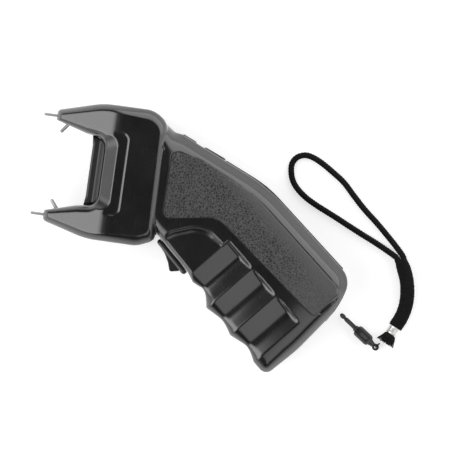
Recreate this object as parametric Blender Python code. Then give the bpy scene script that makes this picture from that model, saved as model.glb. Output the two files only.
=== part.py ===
"""A hand-held livestock prod with a forked electrode head, a pistol grip and a loose wrist strap.

It lies on its right side: +Z points to its left side, its head points to -X and its back to +Y.
The two housings meet in a parting plane, and every piece of the device is drawn about that plane.
Sizes are in millimetres, and the meshes are turned into metres when they become objects.
"""

import math

import bmesh
import bpy
from mathutils import Matrix, Vector

METRE = 0.001
GAP = 0.3  # clearance between pieces that touch
FINE = 0.02  # how far a cutter overlaps the face it starts from
LEAST_RADIUS = 0.1

# Device thickness, measured from the parting plane
HALF_THICKNESS = 19.0
PAD_RISE = 1.6
SIDE_WALL = 5.4
WALL = 3.0
SKIN_HALF = HALF_THICKNESS - PAD_RISE
CAVITY_HALF = SKIN_HALF - SIDE_WALL

# Forked head, symmetric about its own axis
HEAD_AXIS_Y = 27.8
HEAD_FRONT_X = -77.4
HEAD_REAR_X = -19.5
HEAD_HEEL_X = -18.2
HEAD_HALF_HEIGHT = 35.4
HEAD_CHAMFER = 5.6
HEAD_CHAMFER_HEIGHT = 4.6
TIP_CHAMFER = 2.4
REAR_CHAMFER = 2.6
REAR_SHOULDER = 3.6
HEAD_REAR_HALF = 29.6
HEAD_HEEL_HALF = 31.6
TIP_HALF_HEIGHT = 29.0
TIP_HALF_THICKNESS = 8.5
ARM_TAPER_START_X = -45.0
FORK_BASE_X = -50.0
FORK_BASE_HALF = 17.0
FORK_MOUTH_HALF = 23.6
FORK_KNEE_X = -61.4
FORK_KNEE_HALF = 18.9
DISH_RIM_X = -43.5
DISH_RIM_HALF = 19.9
DISH_FLOOR_HALF = 7.5
STEP_X = -38.0
STEP_HALF = 21.9
STEP_DEPTH = 3.4

# Electrode carrier in the fork
CARRIER_FRONT_X = -56.5
CARRIER_FRONT_HALF = 14.8
CARRIER_LIP_X = -60.8
CARRIER_TONGUE = 4.6
CARRIER_TONGUE_HALF = 3.0
CARRIER_TONGUE_WIDTH = 20.0

# Electrodes
CONTACT_HALF = 25.9
CONTACT_TIP_X = -84.2
CONTACT_DIAMETER = 1.5
SPARK_DIAMETER = 1.8
SPARK_LENGTH = 5.0
SPARK_WALL = 1.0
SPARK_BASE_X = -71.4
SPARK_BASE_HALF = 21.6
SPARK_ANGLE = 52.0
FLANGE_DIAMETER = 3.2
FLANGE_THICKNESS = 1.4
CONTACT_INNER_X = -71.6

# Grip: a frame whose +X runs down the grip and whose +Y points to its back
GRIP_ANGLE = -41.0
GRIP_FRONT = -17.2
GRIP_BACK = 49.4
GRIP_BUTT = 80.0
FRONT_EDGE = 6.0
BACK_EDGE = 9.5
BUTT_EDGE = 7.5
BACK_SLOPE = -22.4

# Finger grooves
GROOVE_FIRST = 23.2
GROOVE_PITCH = 18.75
GROOVE_CREST = 0.9
GROOVE_DEPTH = 2.6
GROOVE_SHARES = (0.0, 0.21, 0.42, 0.48, 0.54, 0.6, 0.7, 0.8, 0.9, 1.0)
SLOPE_SHARE = 0.42
SLOPE_DEPTH = 0.9
SLOPE_SWELL = 1.24
RISE_STEEPNESS = 1.75
GROOVE_END = 10.0
GROOVE_END_RADIUS = 4.6
FRONT_DEPTHS = (5.0, 1.9, 2.6)
INDEX_DEPTH = 2.4
INDEX_WALL = 2.0

# Side pads
PAD_SEAT_DEPTH = 1.2
PAD_EDGE = 1.1
PAD_BEND = 6.0
SPINE_HALF = 5.0
SPINE_DEPTH = 1.0
SPINE_PROUD = 0.6

# Battery, its bay and its door
BATTERY_LENGTH = 46.0
BATTERY_WIDTH = 26.5
BATTERY_THICKNESS = 17.5
BATTERY_START = 20.0
BATTERY_CENTRE = 29.0
TERMINAL_HEIGHT = 3.0
TERMINAL_PITCH = 12.7
SNAP_THICKNESS = 2.4
RIB_INSET = 9.0
RIB_LENGTH = 18.0
RIB_THICKNESS = 2.0
DOOR_START = 12.4
DOOR_END = 73.0
DOOR_WIDTH = 28.8
DOOR_CORNER_LENGTH = 5.4
DOOR_CORNER_WIDTH = 6.9
DOOR_THICKNESS = 2.4
DOOR_TONGUE = 3.6
DOOR_TONGUE_WIDTH = 16.0
DOOR_TONGUE_DROP = 1.6

# Rocker switch: a frame whose +X runs along its face and whose +Y points into the device
TRIGGER_CENTRE = (-7.2, -9.7)
TRIGGER_ANGLE = -43.2
BEZEL_LENGTH = 22.4
BEZEL_WIDTH = 15.0
BEZEL_HEIGHT = 2.8
SWITCH_LENGTH = 19.0
SWITCH_WIDTH = 12.6
SWITCH_DEPTH = 12.5
ROCKER_WIDTH = 9.6
ROCKER_PIVOT_DEPTH = 1.4
ROCKER_PIN_DIAMETER = 1.6
ROCKER_FOOT = 3.4
SWITCH_WALL = 1.6
WELL_DEPTH = 7.4
SPRING_PLACE = 3.0
SPRING_RADIUS = 1.5

# Safety slider on the back: a frame whose +X runs down the back and whose +Y points out
SLIDER_LENGTH = 12.6
SLIDER_WIDTH = 9.0
SLIDER_PROUD = 1.5
SLIDER_TRAVEL = 4.5
SLIDER_STEM = 4.0
SLIDER_STEM_WIDTH = 3.0
STEM_FOOT = 1.6
LEVER_HALF = 1.2
LEVER_WIDTH = 2.8
LEVER_HEIGHT = 3.0

# Safety socket in the butt
SOCKET_PLACE = (78.0, 28.5)
SOCKET_ANGLE = -31.0
SOCKET_DIAMETER = 6.0
SOCKET_LENGTH = 10.0
SOCKET_BORE = 2.9
SOCKET_RIM = 0.9
SOCKET_NUT = 8.4

# Screws through the right housing
SCREW_RECESS = 6.4
SCREW_SEAT = HALF_THICKNESS - SCREW_RECESS
SCREW_HEAD_DIAMETER = 5.2
SCREW_HEAD_HEIGHT = 2.0
SCREW_SHANK_DIAMETER = 2.6
SCREW_LENGTH = 19.0
BOSS_DIAMETER = 7.0

# Circuit board and what is soldered to it, in plan
BOARD_THICKNESS = 1.6
BOARD_LEVEL = -7.0
BOARD_POST_DIAMETER = 5.0
BOARD_CORNERS = ((-19.0, 13.0), (6.0, 13.0), (17.0, 20.0), (17.0, 29.0), (2.0, 38.0), (-19.0, 39.0))
CORE_PLACE = (-11.0, 31.0)
CORE_SIZE = (14.0, 12.0, 11.0)
CORE_LIMB = 2.4
CORE_YOKE = 2.6
WINDING_INSET = 2.0
WINDING_HEIGHT = 3.0
FLANGE_WIDTH = 0.9
CAPACITOR_PLACE = (-14.0, 19.0)
CAPACITOR_RADIUS = 5.0
CAPACITOR_LENGTH = 16.0
TRANSISTOR_PLACE = (6.5, 23.0)
TRANSISTOR_SIZE = (4.6, 10.0, 9.4)
SINK_THICKNESS = 1.3
SINK_HEIGHT = 14.6
RESISTOR_PLACES = ((-3.0, 33.4), (-3.0, 29.8), (-3.4, 26.2))
RESISTOR_RADIUS = 1.3
RESISTOR_LENGTH = 6.0
RED_LEAD_PLACE = (13.6, 22.0)
BLACK_LEAD_PLACE = (13.6, 26.4)
LEAD_DIAMETER = 1.4
HIGH_VOLTAGE_LEAD_DIAMETER = 1.8

# Wrist strap and its plug, which lie on the surface beside the grip
CORD_DIAMETER = 2.8
SLEEVE_DIAMETER = 7.0
FERRULE_LENGTH = 4.6
FERRULE_DIAMETER = 6.0
TAIL_LENGTH = 6.2
TAIL_DIAMETER = 8.4
PLUG_END = (100.2, -40.3)
PLUG_ANGLE = 144.5
PLUG_GRIP_LENGTH = 9.0
PLUG_GRIP_WIDTH = 5.4
PLUG_GRIP_HEIGHT = 5.4
PLUG_PIN_DIAMETER = 2.4
PLUG_PIN_LENGTH = 11.6
PLUG_NECK_LENGTH = 2.6
EYE_DIAMETER = 3.4
EYE_HOLE = 1.6
EYE_THICKNESS = 2.2
TIE_DIAMETER = 0.7

CORD_ROUTE = (
    (112.2, 4.4, 3.4), (111.1, 6.5, 3.0), (107.3, 10.6, 1.4), (102.6, 15.1, 1.4), (95.3, 21.7, 1.4),
    (88.0, 27.8, 1.4), (81.4, 34.2, 1.4), (75.4, 40.2, 1.4), (68.5, 45.0, 1.4), (62.5, 48.7, 1.4),
    (57.5, 50.9, 1.4), (53.4, 51.5, 1.4), (49.5, 49.9, 1.4), (47.3, 46.5, 1.4), (47.3, 42.3, 1.4),
    (48.8, 37.6, 1.4), (51.9, 33.5, 1.4), (57.0, 29.5, 1.4), (63.0, 26.3, 1.4), (69.0, 23.6, 1.4),
    (75.0, 20.9, 1.4), (82.0, 17.6, 1.4), (89.0, 14.4, 1.4), (96.0, 11.3, 1.4), (101.6, 8.6, 1.4),
    (105.6, 6.5, 2.1), (108.2, 4.9, 3.0), (109.3, 2.9, 3.4),
)
SLEEVE_ROUTE = (
    (111.0, 3.2), (113.2, -1.2), (114.9, -5.6), (116.0, -10.3), (116.5, -15.4), (116.2, -20.4),
    (114.9, -25.6), (112.6, -30.6),
)


def clear_scene():
    for item in list(bpy.data.objects):
        bpy.data.objects.remove(item, do_unlink=True)


def material(name, colour, roughness, metallic=0.0):
    made = bpy.data.materials.new(name)
    made.use_nodes = True
    shader = made.node_tree.nodes["Principled BSDF"]
    shader.inputs["Base Color"].default_value = (*colour, 1.0)
    shader.inputs["Roughness"].default_value = roughness
    shader.inputs["Metallic"].default_value = metallic
    made.diffuse_color = (*colour, 1.0)
    return made


class Frame:
    """A place in the plan: a point and the direction of its own +X."""

    def __init__(self, x, y, angle):
        self.matrix = Matrix.Translation((x, y, 0)) @ Matrix.Rotation(math.radians(angle), 4, "Z")

    def at(self, u, v):
        point = self.matrix @ Vector((u, v, 0))
        return (point.x, point.y)

    def spin(self, u=0.0, v=0.0, z=0.0):
        """The matrix that turns a shape's +Z into this frame's +X."""
        return self.matrix @ Matrix.Translation((u, v, z)) @ Matrix.Rotation(math.radians(90), 4, "Y")


GRIP = Frame(0, 0, GRIP_ANGLE)
TRIGGER = Frame(*TRIGGER_CENTRE, TRIGGER_ANGLE)
SOCKET = Frame(*GRIP.at(*SOCKET_PLACE), SOCKET_ANGLE)
BACK_START = (-12.0, 53.2)
NECK_END_X = -15.2
NECK_END_Y = 53.5
NECK_RUN = 9.4
NECK_RISE = 7.0
SLIDER_DISTANCE = 20.2
SLIDER = Frame(*Frame(*BACK_START, BACK_SLOPE).at(SLIDER_DISTANCE, 0), BACK_SLOPE)
PLUG = Frame(*PLUG_END, PLUG_ANGLE)
HALVES = (1, -1)  # the upper and the lower arm of the head, as seen in plan


def head_y(half):
    """A height above or below the head's own axis."""
    return HEAD_AXIS_Y + half


def rounded(corners, inset=0.0, steps=4):
    """An outline, anticlockwise, whose corners (x, y, radius) are rounded, moved inwards by an inset.

    The inset may be a list with a value for each corner, and takes up the radius of an outward corner.
    """
    points = []
    for index, (x, y, radius) in enumerate(corners):
        here = Vector((x, y))
        back = (Vector(corners[index - 1][:2]) - here).normalized()
        ahead = (Vector(corners[(index + 1) % len(corners)][:2]) - here).normalized()
        outward = 1 if ahead.cross(back) > 0 else -1
        distance = inset[index] if isinstance(inset, list) else inset
        half_angle = back.angle(ahead) / 2
        bisector = (back + ahead).normalized() / math.sin(half_angle)
        here += bisector * distance * outward
        if radius <= 0:
            points.append(tuple(here))
            continue
        left = max(LEAST_RADIUS, radius - distance * outward)
        centre = here + bisector * left
        run = left / math.tan(half_angle)
        first, last = here + back * run - centre, here + ahead * run - centre
        turn = first.angle_signed(last)
        for step in range(steps + 1):
            arm = first.copy()
            arm.rotate(Matrix.Rotation(-turn * step / steps, 2))
            points.append(tuple(centre + arm))
    return points


def smooth(route, spacing):
    """Points at an even spacing along a smooth curve through a route."""
    knots = [Vector(point) for point in route]
    padded = [2 * knots[0] - knots[1], *knots, 2 * knots[-1] - knots[-2]]
    fine = []
    for a, b, c, d in zip(padded, padded[1:], padded[2:], padded[3:]):
        for step in range(12):
            t = step / 12
            fine.append(0.5 * (2 * b + (c - a) * t + (2 * a - 5 * b + 4 * c - d) * t * t
                               + (3 * b - a - 3 * c + d) * t ** 3))
    fine.append(knots[-1])
    lengths = [0.0]
    for a, b in zip(fine, fine[1:]):
        lengths.append(lengths[-1] + (b - a).length)
    count = max(2, round(lengths[-1] / spacing))
    points, place = [], 0
    for index in range(count + 1):
        target = lengths[-1] * index / count
        while place < len(fine) - 2 and lengths[place + 1] < target:
            place += 1
        share = (target - lengths[place]) / (lengths[place + 1] - lengths[place])
        points.append(tuple(fine[place].lerp(fine[place + 1], share)))
    return points


def loft(rings, place=None):
    """A closed solid through rings of equally many points, with flat ends."""
    bm = bmesh.new()
    loops = [[bm.verts.new(point) for point in ring] for ring in rings]
    for lower, upper in zip(loops, loops[1:]):
        for index in range(len(lower)):
            corners = (lower[index - 1], lower[index], upper[index], upper[index - 1])
            bm.faces.new(corners)
    bm.faces.new(loops[0])
    bm.faces.new(loops[-1])
    bmesh.ops.recalc_face_normals(bm, faces=bm.faces)
    if place is not None:
        bmesh.ops.transform(bm, matrix=place, verts=bm.verts)
    return bm


def prism(outline, low, high, place=None):
    return loft([[(x, y, z) for x, y in outline] for z in (low, high)], place)


def layered(corners, layers, place=None, steps=4):
    """A solid whose outline is moved inwards by a distance at each height."""
    return loft([[(x, y, z) for x, y in rounded(corners, inset, steps)] for inset, z in layers], place)


def turned(profile, segments=16, place=None):
    """A solid turned about +Z from radii at heights."""
    angles = [2 * math.pi * index / segments for index in range(segments)]
    return loft([[(r * math.cos(a), r * math.sin(a), z) for a in angles] for r, z in profile], place)


def rectangle(x0, x1, y0, y1):
    return [(x0, y0), (x1, y0), (x1, y1), (x0, y1)]


def block(x, y, z, place=None, edge=0.0):
    """A box between pairs of limits, with its edges broken where asked."""
    bm = prism(rectangle(*x, *y), *z)
    if edge:
        bmesh.ops.bevel(bm, geom=bm.edges[:], offset=edge, segments=1, profile=0.5, affect="EDGES")
    if place is not None:
        bmesh.ops.transform(bm, matrix=place, verts=bm.verts)
    return bm


def about(centre, half):
    """Limits at a distance on both sides of a centre."""
    return (centre - half, centre + half)


def standing(point, z=0.0):
    """The place of a shape that stands upright on a point of the plan."""
    return Matrix.Translation((point[0], point[1], z))


def as_object(bm, name="tool"):
    mesh = bpy.data.meshes.new(name)
    bm.to_mesh(mesh)
    bm.free()
    made = bpy.data.objects.new(name, mesh)
    bpy.context.scene.collection.objects.link(made)
    return made


def combine(target, tools, operation):
    """Applies Booleans of a list of meshes to an object, one after the other."""
    helpers = [as_object(tool) for tool in tools]
    for helper in helpers:
        step = target.modifiers.new(operation, "BOOLEAN")
        step.operation = operation
        step.object = helper
        step.solver = "EXACT"
    graph = bpy.context.evaluated_depsgraph_get()
    result = bpy.data.meshes.new_from_object(target.evaluated_get(graph))
    target.modifiers.clear()
    target.data = result
    for helper in helpers:
        bpy.data.objects.remove(helper, do_unlink=True)
    return target


def taken(thing):
    """A helper object's mesh, with the object removed."""
    bm = bmesh.new()
    bm.from_mesh(thing.data)
    bpy.data.objects.remove(thing, do_unlink=True)
    return bm


def piece(name, source, finish, parent, origin=(0.0, 0.0, 0.0)):
    """Turns a mesh in millimetres into a named object in metres, with its own origin."""
    made = as_object(source, name) if isinstance(source, bmesh.types.BMesh) else source
    made.name = name
    made.data.name = name
    made.data.transform(Matrix.Scale(METRE, 4) @ Matrix.Translation(-Vector(origin)))
    made.location = Vector(origin) * METRE
    made.parent = parent
    made.data.materials.clear()
    made.data.materials.append(finish)
    made.data.shade_smooth()
    made.data.set_sharp_from_angle(angle=math.radians(32))
    return made


def wire(name, route, diameter, finish, parent, resolution=2):
    """A round lead or cord along points in millimetres."""
    curve = bpy.data.curves.new(name, "CURVE")
    curve.dimensions = "3D"
    curve.bevel_depth = diameter / 2 * METRE
    curve.bevel_resolution = resolution
    curve.use_fill_caps = True
    spline = curve.splines.new("POLY")
    spline.points.add(len(route) - 1)
    for point, place in zip(spline.points, route):
        point.co = (*(Vector(place) * METRE), 1.0)
    made = bpy.data.objects.new(name, curve)
    bpy.context.scene.collection.objects.link(made)
    made.parent = parent
    curve.materials.append(finish)
    return made


def mirrored(half_profile):
    """Corners about the head's axis from (x, half height, radius), lower side first."""
    lower = [(x, head_y(-half), radius) for x, half, radius in half_profile]
    upper = [(x, head_y(half), radius) for x, half, radius in reversed(half_profile)]
    return lower + upper


def heeled(outline, setback, lift):
    """Moves the lower rear corner of the head out to its heel."""
    corners = list(outline)
    radius = corners[3][2]
    corners[3] = (HEAD_HEEL_X - setback, head_y(lift - HEAD_HEEL_HALF), radius)
    return corners


def head_corners():
    return heeled(mirrored((
        (HEAD_FRONT_X, TIP_HALF_HEIGHT, 2.4),
        (-54.0, HEAD_HALF_HEIGHT, 40.0),
        (-27.0, HEAD_HALF_HEIGHT, 9.0),
        (HEAD_REAR_X, HEAD_REAR_HALF, 1.5),
    )), 0.0, 0.0)


def face_corners():
    """The flat side of the head inside its chamfer, which is narrow at the tips and behind."""
    return heeled(mirrored((
        (HEAD_FRONT_X + REAR_CHAMFER, TIP_HALF_HEIGHT - TIP_CHAMFER, 1.2),
        (-52.0, HEAD_HALF_HEIGHT - 0.6 * HEAD_CHAMFER, 30.0),
        (-27.0, HEAD_HALF_HEIGHT - HEAD_CHAMFER, 6.0),
        (HEAD_REAR_X - REAR_CHAMFER, HEAD_REAR_HALF - REAR_SHOULDER, 1.5),
    )), REAR_CHAMFER, REAR_SHOULDER)


def grip_corners(front=0.0, wall=0.0):
    """The grip and neck in plan; a cavity has a deeper front and a wall all round."""
    slope = Frame(*BACK_START, BACK_SLOPE)
    return (
        (-30.0, 10.0 + wall, 0.0),
        (*TRIGGER.at(-20.4, wall), 0.0),
        (*TRIGGER.at(11.5, wall), 1.5),
        (*GRIP.at(32.5 + wall, GRIP_FRONT + front + wall), 0.0),
        (*GRIP.at(GRIP_BUTT - 0.9 - wall, GRIP_FRONT + front + wall), 4.4),
        (*GRIP.at(GRIP_BUTT - wall, 4.0), 80.0),
        (*GRIP.at(GRIP_BUTT - 2.4 - wall, 34.0), 40.0),
        (*GRIP.at(GRIP_BUTT - 9.2 - wall, GRIP_BACK - wall), 11.0 - wall),
        (*GRIP.at(6.0, GRIP_BACK - 1.6 - wall), 60.0),
        (*slope.at(0.0, -wall), 10.0),
        (NECK_END_X, NECK_END_Y - wall, 4.0),
        (NECK_END_X - NECK_RUN, NECK_END_Y + NECK_RISE - wall, 0.0),
    )


def grip_edges():
    """How wide the grip's edge is rounded at each corner of its plan."""
    return [FRONT_EDGE] * 5 + [BUTT_EDGE] * 2 + [BACK_EDGE] * 5


def grip_half(steps=4):
    """Half of the grip: a side wall that rounds over into a flat skin."""
    corners, edges = grip_corners(), grip_edges()
    rings = [[(x, y, -FINE) for x, y in rounded(corners)]]
    for step in range(steps + 1):
        angle = math.radians(90) * step / steps
        plan = rounded(corners, [edge * (1 - math.cos(angle)) for edge in edges])
        heights = rounded_values([SKIN_HALF - edge * (1 - math.sin(angle)) for edge in edges], corners)
        rings.append([(x, y, z) for (x, y), z in zip(plan, heights)])
    return loft(rings)


def rounded_values(values, corners, steps=4):
    """A value for each point of a rounded outline, from a value for each corner."""
    spread = []
    for value, corner in zip(values, corners):
        spread += [value] * (1 if corner[2] <= 0 else steps + 1)
    return spread


def head_half():
    """Half of the head: chamfered all round, with arms that grow thin towards their tips."""
    def front_share(x):
        return min(1.0, max(0.0, (x - HEAD_FRONT_X) / (ARM_TAPER_START_X - HEAD_FRONT_X)))

    outside, inside = rounded(head_corners()), rounded(face_corners())
    wall_top = HALF_THICKNESS - HEAD_CHAMFER_HEIGHT
    levels = ((0.0, -FINE), (0.0, wall_top - 0.4), (0.1, wall_top + 0.4), (0.9, HALF_THICKNESS - 0.25),
              (1.0, HALF_THICKNESS))
    rings = []
    for share, z in levels:
        rings.append([(*Vector(o).lerp(Vector(i), share), z) for o, i in zip(outside, inside)])
    bm = loft(rings)
    for x in (ARM_TAPER_START_X, ARM_TAPER_START_X - 4, ARM_TAPER_START_X - 9, ARM_TAPER_START_X - 18):
        faces = bm.verts[:] + bm.edges[:] + bm.faces[:]
        bmesh.ops.bisect_plane(bm, geom=faces, plane_co=(x, 0, 0), plane_no=(1, 0, 0))
    for vert in bm.verts:
        if vert.co.z > 0:
            share = front_share(vert.co.x)
            ease = share * share * (3 - 2 * share) * 0.35 + share * 0.65
            vert.co.z *= (TIP_HALF_THICKNESS + (HALF_THICKNESS - TIP_HALF_THICKNESS) * ease) / HALF_THICKNESS
    bmesh.ops.triangulate(bm, faces=bm.faces)
    return bm


def fork_corners():
    """The gap between the arms, open towards the front."""
    return mirrored((
        (-95.0, FORK_MOUTH_HALF + 3.6, 0.0),
        (HEAD_FRONT_X, FORK_MOUTH_HALF, 20.0),
        (FORK_KNEE_X, FORK_KNEE_HALF, 8.0),
        (FORK_BASE_X, FORK_BASE_HALF, 6.0),
    ))


def fork_cutters():
    """The gap itself, the dished slope behind it and the shallow step around both."""
    gap = prism(rounded(fork_corners()), -1.0, HALF_THICKNESS + 1)
    dish_rim = rounded(mirrored(((-96.0, DISH_RIM_HALF, 0.0), (DISH_RIM_X, DISH_RIM_HALF, 6.0))))
    floor_x, floor_half = FORK_BASE_X - FINE, FORK_BASE_HALF - FINE
    dish_floor = rounded(mirrored(((-96.0, floor_half, 0.0), (floor_x, floor_half, 6.0))))
    step_level = HALF_THICKNESS - STEP_DEPTH
    dish = loft((
        [(x, y, DISH_FLOOR_HALF) for x, y in dish_floor],
        [(x, y, step_level + FINE) for x, y in dish_rim],
    ))
    step_corners = mirrored(((-97.0, STEP_HALF, 0.0), (STEP_X, STEP_HALF, 4.5)))
    step = layered(step_corners, ((0.5, step_level), (0.0, step_level + 1.0), (0.0, HALF_THICKNESS + 1)))
    return [gap, dish, step]


def scallop(share):
    """The depth of a finger groove from crest to crest: an even slope down, a tight floor, a hollow rise."""
    if share < SLOPE_SHARE:
        return SLOPE_DEPTH * share / SLOPE_SHARE
    t = (share - SLOPE_SHARE) / (1 - SLOPE_SHARE)
    ease = 2 * t ** 3 - 3 * t * t + 1
    return SLOPE_DEPTH * ease + SLOPE_SWELL * (t ** 3 - 2 * t * t + t) - RISE_STEEPNESS * (t ** 3 - t * t)


def groove_cutter(centre, front_depth):
    """One finger's groove, led from the side, round the front edge, to the parting plane."""
    chord = GROOVE_PITCH - GROOVE_CREST
    floor = SKIN_HALF - GROOVE_DEPTH
    front = GRIP_FRONT + front_depth
    corner = FRONT_EDGE - GROOVE_DEPTH
    line = []
    for step in range(4):
        angle = math.radians(90) * (1 - step / 3)
        across = GROOVE_END + GROOVE_END_RADIUS * math.sin(angle)
        height = floor + GROOVE_END_RADIUS * (1 - math.cos(angle))
        line.append((across, height, (-math.sin(angle), math.cos(angle)), GROOVE_DEPTH))
    for step in range(4):
        angle = math.radians(90) * step / 3
        across = front + corner * (1 - math.sin(angle))
        height = floor - corner * (1 - math.cos(angle))
        depth = GROOVE_DEPTH + (front_depth - GROOVE_DEPTH) * step / 3
        line.append((across, height, (-math.sin(angle), math.cos(angle)), depth))
    line.append((front, -1.0, (-1.0, 0.0), front_depth))
    rings = []
    for across, height, (toward_front, up), depth in line:
        ring = []
        for share in GROOVE_SHARES:
            along, rise = chord * (share - 0.5), depth * (1 - scallop(share))
            ring.append((centre + along, across + toward_front * rise, height + up * rise))
        top = max(depth, GROOVE_DEPTH) + 1.8
        for along in (chord / 2, -chord / 2):
            ring.append((centre + along, across + toward_front * top, height + up * top))
        rings.append(ring)
    return loft(rings, GRIP.matrix)


def index_cutter():
    """The index finger's recess beside the rocker."""
    corners = (
        (-24.0, -6.0, 0.0),
        (-6.0, -24.0, 0.0),
        (1.6, -17.6, 0.0),
        (17.2, 0.4, 3.0),
        (6.5, 8.2, 14.0),
        (-9.0, 2.8, 16.0),
        (-18.0, -3.0, 0.0),
    )
    floor = SKIN_HALF - INDEX_DEPTH
    return layered(corners, ((INDEX_WALL, floor), (0.0, SKIN_HALF + FINE), (0.0, HALF_THICKNESS)))


def pad_corners(end):
    """A side pad in plan, from behind the head down to a distance along the grip."""
    return (
        (-15.4, 8.2, 3.0),
        (12.6, 13.0, 14.0),
        (*GRIP.at(end, 21.8), 1.6),
        (*GRIP.at(end - 1.6, 41.2), 5.0),
        *([(*GRIP.at(PAD_BEND, 40.2), 50.0)] if end > 3 * PAD_BEND else []),
        (0.0, 41.6, 20.0),
        (-15.4, 44.0, 3.0),
    )


def electrode_profiles(clearance=0.0):
    """Profiles of a contact pin and a spark pin, each from its tip inwards."""
    contact_length = CONTACT_INNER_X - CONTACT_TIP_X
    flange = FLANGE_DIAMETER / 2 + clearance
    contact = CONTACT_DIAMETER / 2 + clearance
    spark = SPARK_DIAMETER / 2 + clearance
    shoulder = SPARK_LENGTH + SPARK_WALL
    seat = contact_length - FLANGE_THICKNESS - clearance
    return (
        ((0.6 * contact, -clearance), (contact, 0.5), (contact, seat), (flange, seat),
         (flange, contact_length + clearance)),
        ((0.6 * spark, -clearance), (spark, 0.6), (spark, shoulder - clearance),
         (flange * 0.8, shoulder - clearance), (flange * 0.8, shoulder + 0.9 + clearance)),
    )


def electrode_places(side):
    """Where a side's contact pin and spark pin start, and which way they run inwards."""
    contact = Frame(CONTACT_TIP_X, head_y(side * CONTACT_HALF), 0.0)
    angle = side * SPARK_ANGLE
    reach = math.radians(angle)
    base = (SPARK_BASE_X, head_y(side * SPARK_BASE_HALF))
    tip = (base[0] - SPARK_LENGTH * math.cos(reach), base[1] - SPARK_LENGTH * math.sin(reach))
    return contact.spin(), Frame(*tip, angle).spin()


def arm_channel(side):
    """The hollow of one arm, for its lead and the inner ends of its electrodes."""
    corners = (
        (-42.0, 24.0), (-58.0, 24.2), (-68.0, 24.2), (-71.8, 24.0), (-71.8, 27.8), (-60.0, 30.0),
        (-42.0, 31.0),
    )
    return prism([(x, head_y(side * half)) for x, half in corners], -1.0, 5.0)


def cavity_cutters():
    rear = (HEAD_REAR_X - WALL - 1.5, 28.0, 3.0)
    low, high = [rounded(mirrored(((front, HEAD_HALF_HEIGHT - WALL, 3.0), rear)))
                 for front in (FORK_BASE_X + WALL, DISH_RIM_X + 0.4)]
    slope_start = DISH_FLOOR_HALF - 1.0
    levels = ((low, -1.0), (low, slope_start), (high, CAVITY_HALF - 0.5), (high, CAVITY_HALF))
    head = loft([[(x, y, z) for x, y in outline] for outline, z in levels])
    grip = prism(rounded(grip_corners(front=max(FRONT_DEPTHS), wall=WALL)), -1.0, CAVITY_HALF - FINE)
    return [head, grip] + [arm_channel(side) for side in HALVES]


def screw_places():
    return (
        (-29.0, head_y(28.4)), (-29.0, head_y(-28.4)), (-11.2, 46.9), GRIP.at(30.0, -4.4),
        GRIP.at(70.0, -4.4),
    )


def shared_cutters():
    """Cuts that cross the parting plane and are the same in both housings."""
    beds = [spine_stretch(region, 4.0, SPINE_DEPTH + GAP, SPINE_HALF + GAP) for region in spine_regions(GAP)]
    body_half, body_width = SWITCH_LENGTH / 2 + GAP, SWITCH_WIDTH / 2 + GAP
    stem_span = (-SLIDER_STEM / 2 - SLIDER_TRAVEL - GAP, SLIDER_STEM / 2 + GAP)
    barrel = SOCKET_DIAMETER / 2 + GAP
    rim = barrel + SOCKET_RIM
    tools = beds + [
        block(about(0, body_half), (-4.0, WALL + 2.0), (-1.0, body_width), TRIGGER.matrix),
        block(stem_span, (-WALL - 2.0, 4.0), (-1.0, SLIDER_STEM_WIDTH / 2 + GAP), SLIDER.matrix),
        turned(((barrel, -SOCKET_LENGTH - 1), (barrel, 0.0), (rim, 0.0), (rim, 6.0)), 20, SOCKET.spin()),
        block((CARRIER_FRONT_X, FORK_BASE_X + CARRIER_TONGUE + 2),
              about(HEAD_AXIS_Y, CARRIER_TONGUE_WIDTH / 2 + GAP), (-1.0, CARRIER_TONGUE_HALF + GAP)),
    ]
    for side in HALVES:
        for profile, place in zip(electrode_profiles(GAP), electrode_places(side)):
            tools.append(turned(profile, 12, place))
    return tools


def spine_regions(clearance):
    """The two stretches of the back that carry the spine strip, above and below the slider."""
    slope = Frame(*BACK_START, BACK_SLOPE)
    gap_start = SLIDER_DISTANCE - SLIDER_LENGTH / 2 - SLIDER_TRAVEL - 0.5
    gap_end = SLIDER_DISTANCE + SLIDER_LENGTH / 2 + 0.5
    upper = [slope.at(u, v) for u, v in ((1.0 - clearance, -4), (gap_start + clearance, -4),
                                         (gap_start + clearance, 6), (1.0 - clearance, 6))]
    lower = [slope.at(gap_end - clearance, 6), slope.at(gap_end - clearance, -4), slope.at(44, -8),
             GRIP.at(20, 42), GRIP.at(64 + clearance, 42), GRIP.at(64 + clearance, 58), GRIP.at(8, 58)]
    height = 2 * (HALF_THICKNESS + 1)
    return [prism(upper, -height, height), prism(lower, -height, height)]


def battery_window():
    edge = BATTERY_WIDTH / 2 + 2 * GAP
    start = BATTERY_START - TERMINAL_HEIGHT - 1.0
    end = BATTERY_START + BATTERY_LENGTH + 2 * GAP
    return block((start, end), about(BATTERY_CENTRE, edge), (-1.0, HALF_THICKNESS), GRIP.matrix)


def door_recess():
    """The open-ended bed of the battery door, with the pocket of its tongue."""
    level = HALF_THICKNESS - DOOR_THICKNESS - GAP
    bed = block((DOOR_START - GAP, GRIP_BUTT + 4), about(BATTERY_CENTRE, DOOR_WIDTH / 2 + GAP),
                (level, HALF_THICKNESS + 1), GRIP.matrix)
    pocket_width = about(BATTERY_CENTRE, DOOR_TONGUE_WIDTH / 2 + GAP)
    pocket = block((DOOR_START - DOOR_TONGUE - GAP, BATTERY_START), pocket_width,
                   (level - DOOR_TONGUE_DROP, level + FINE), GRIP.matrix)
    return [bed, pocket]


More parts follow.
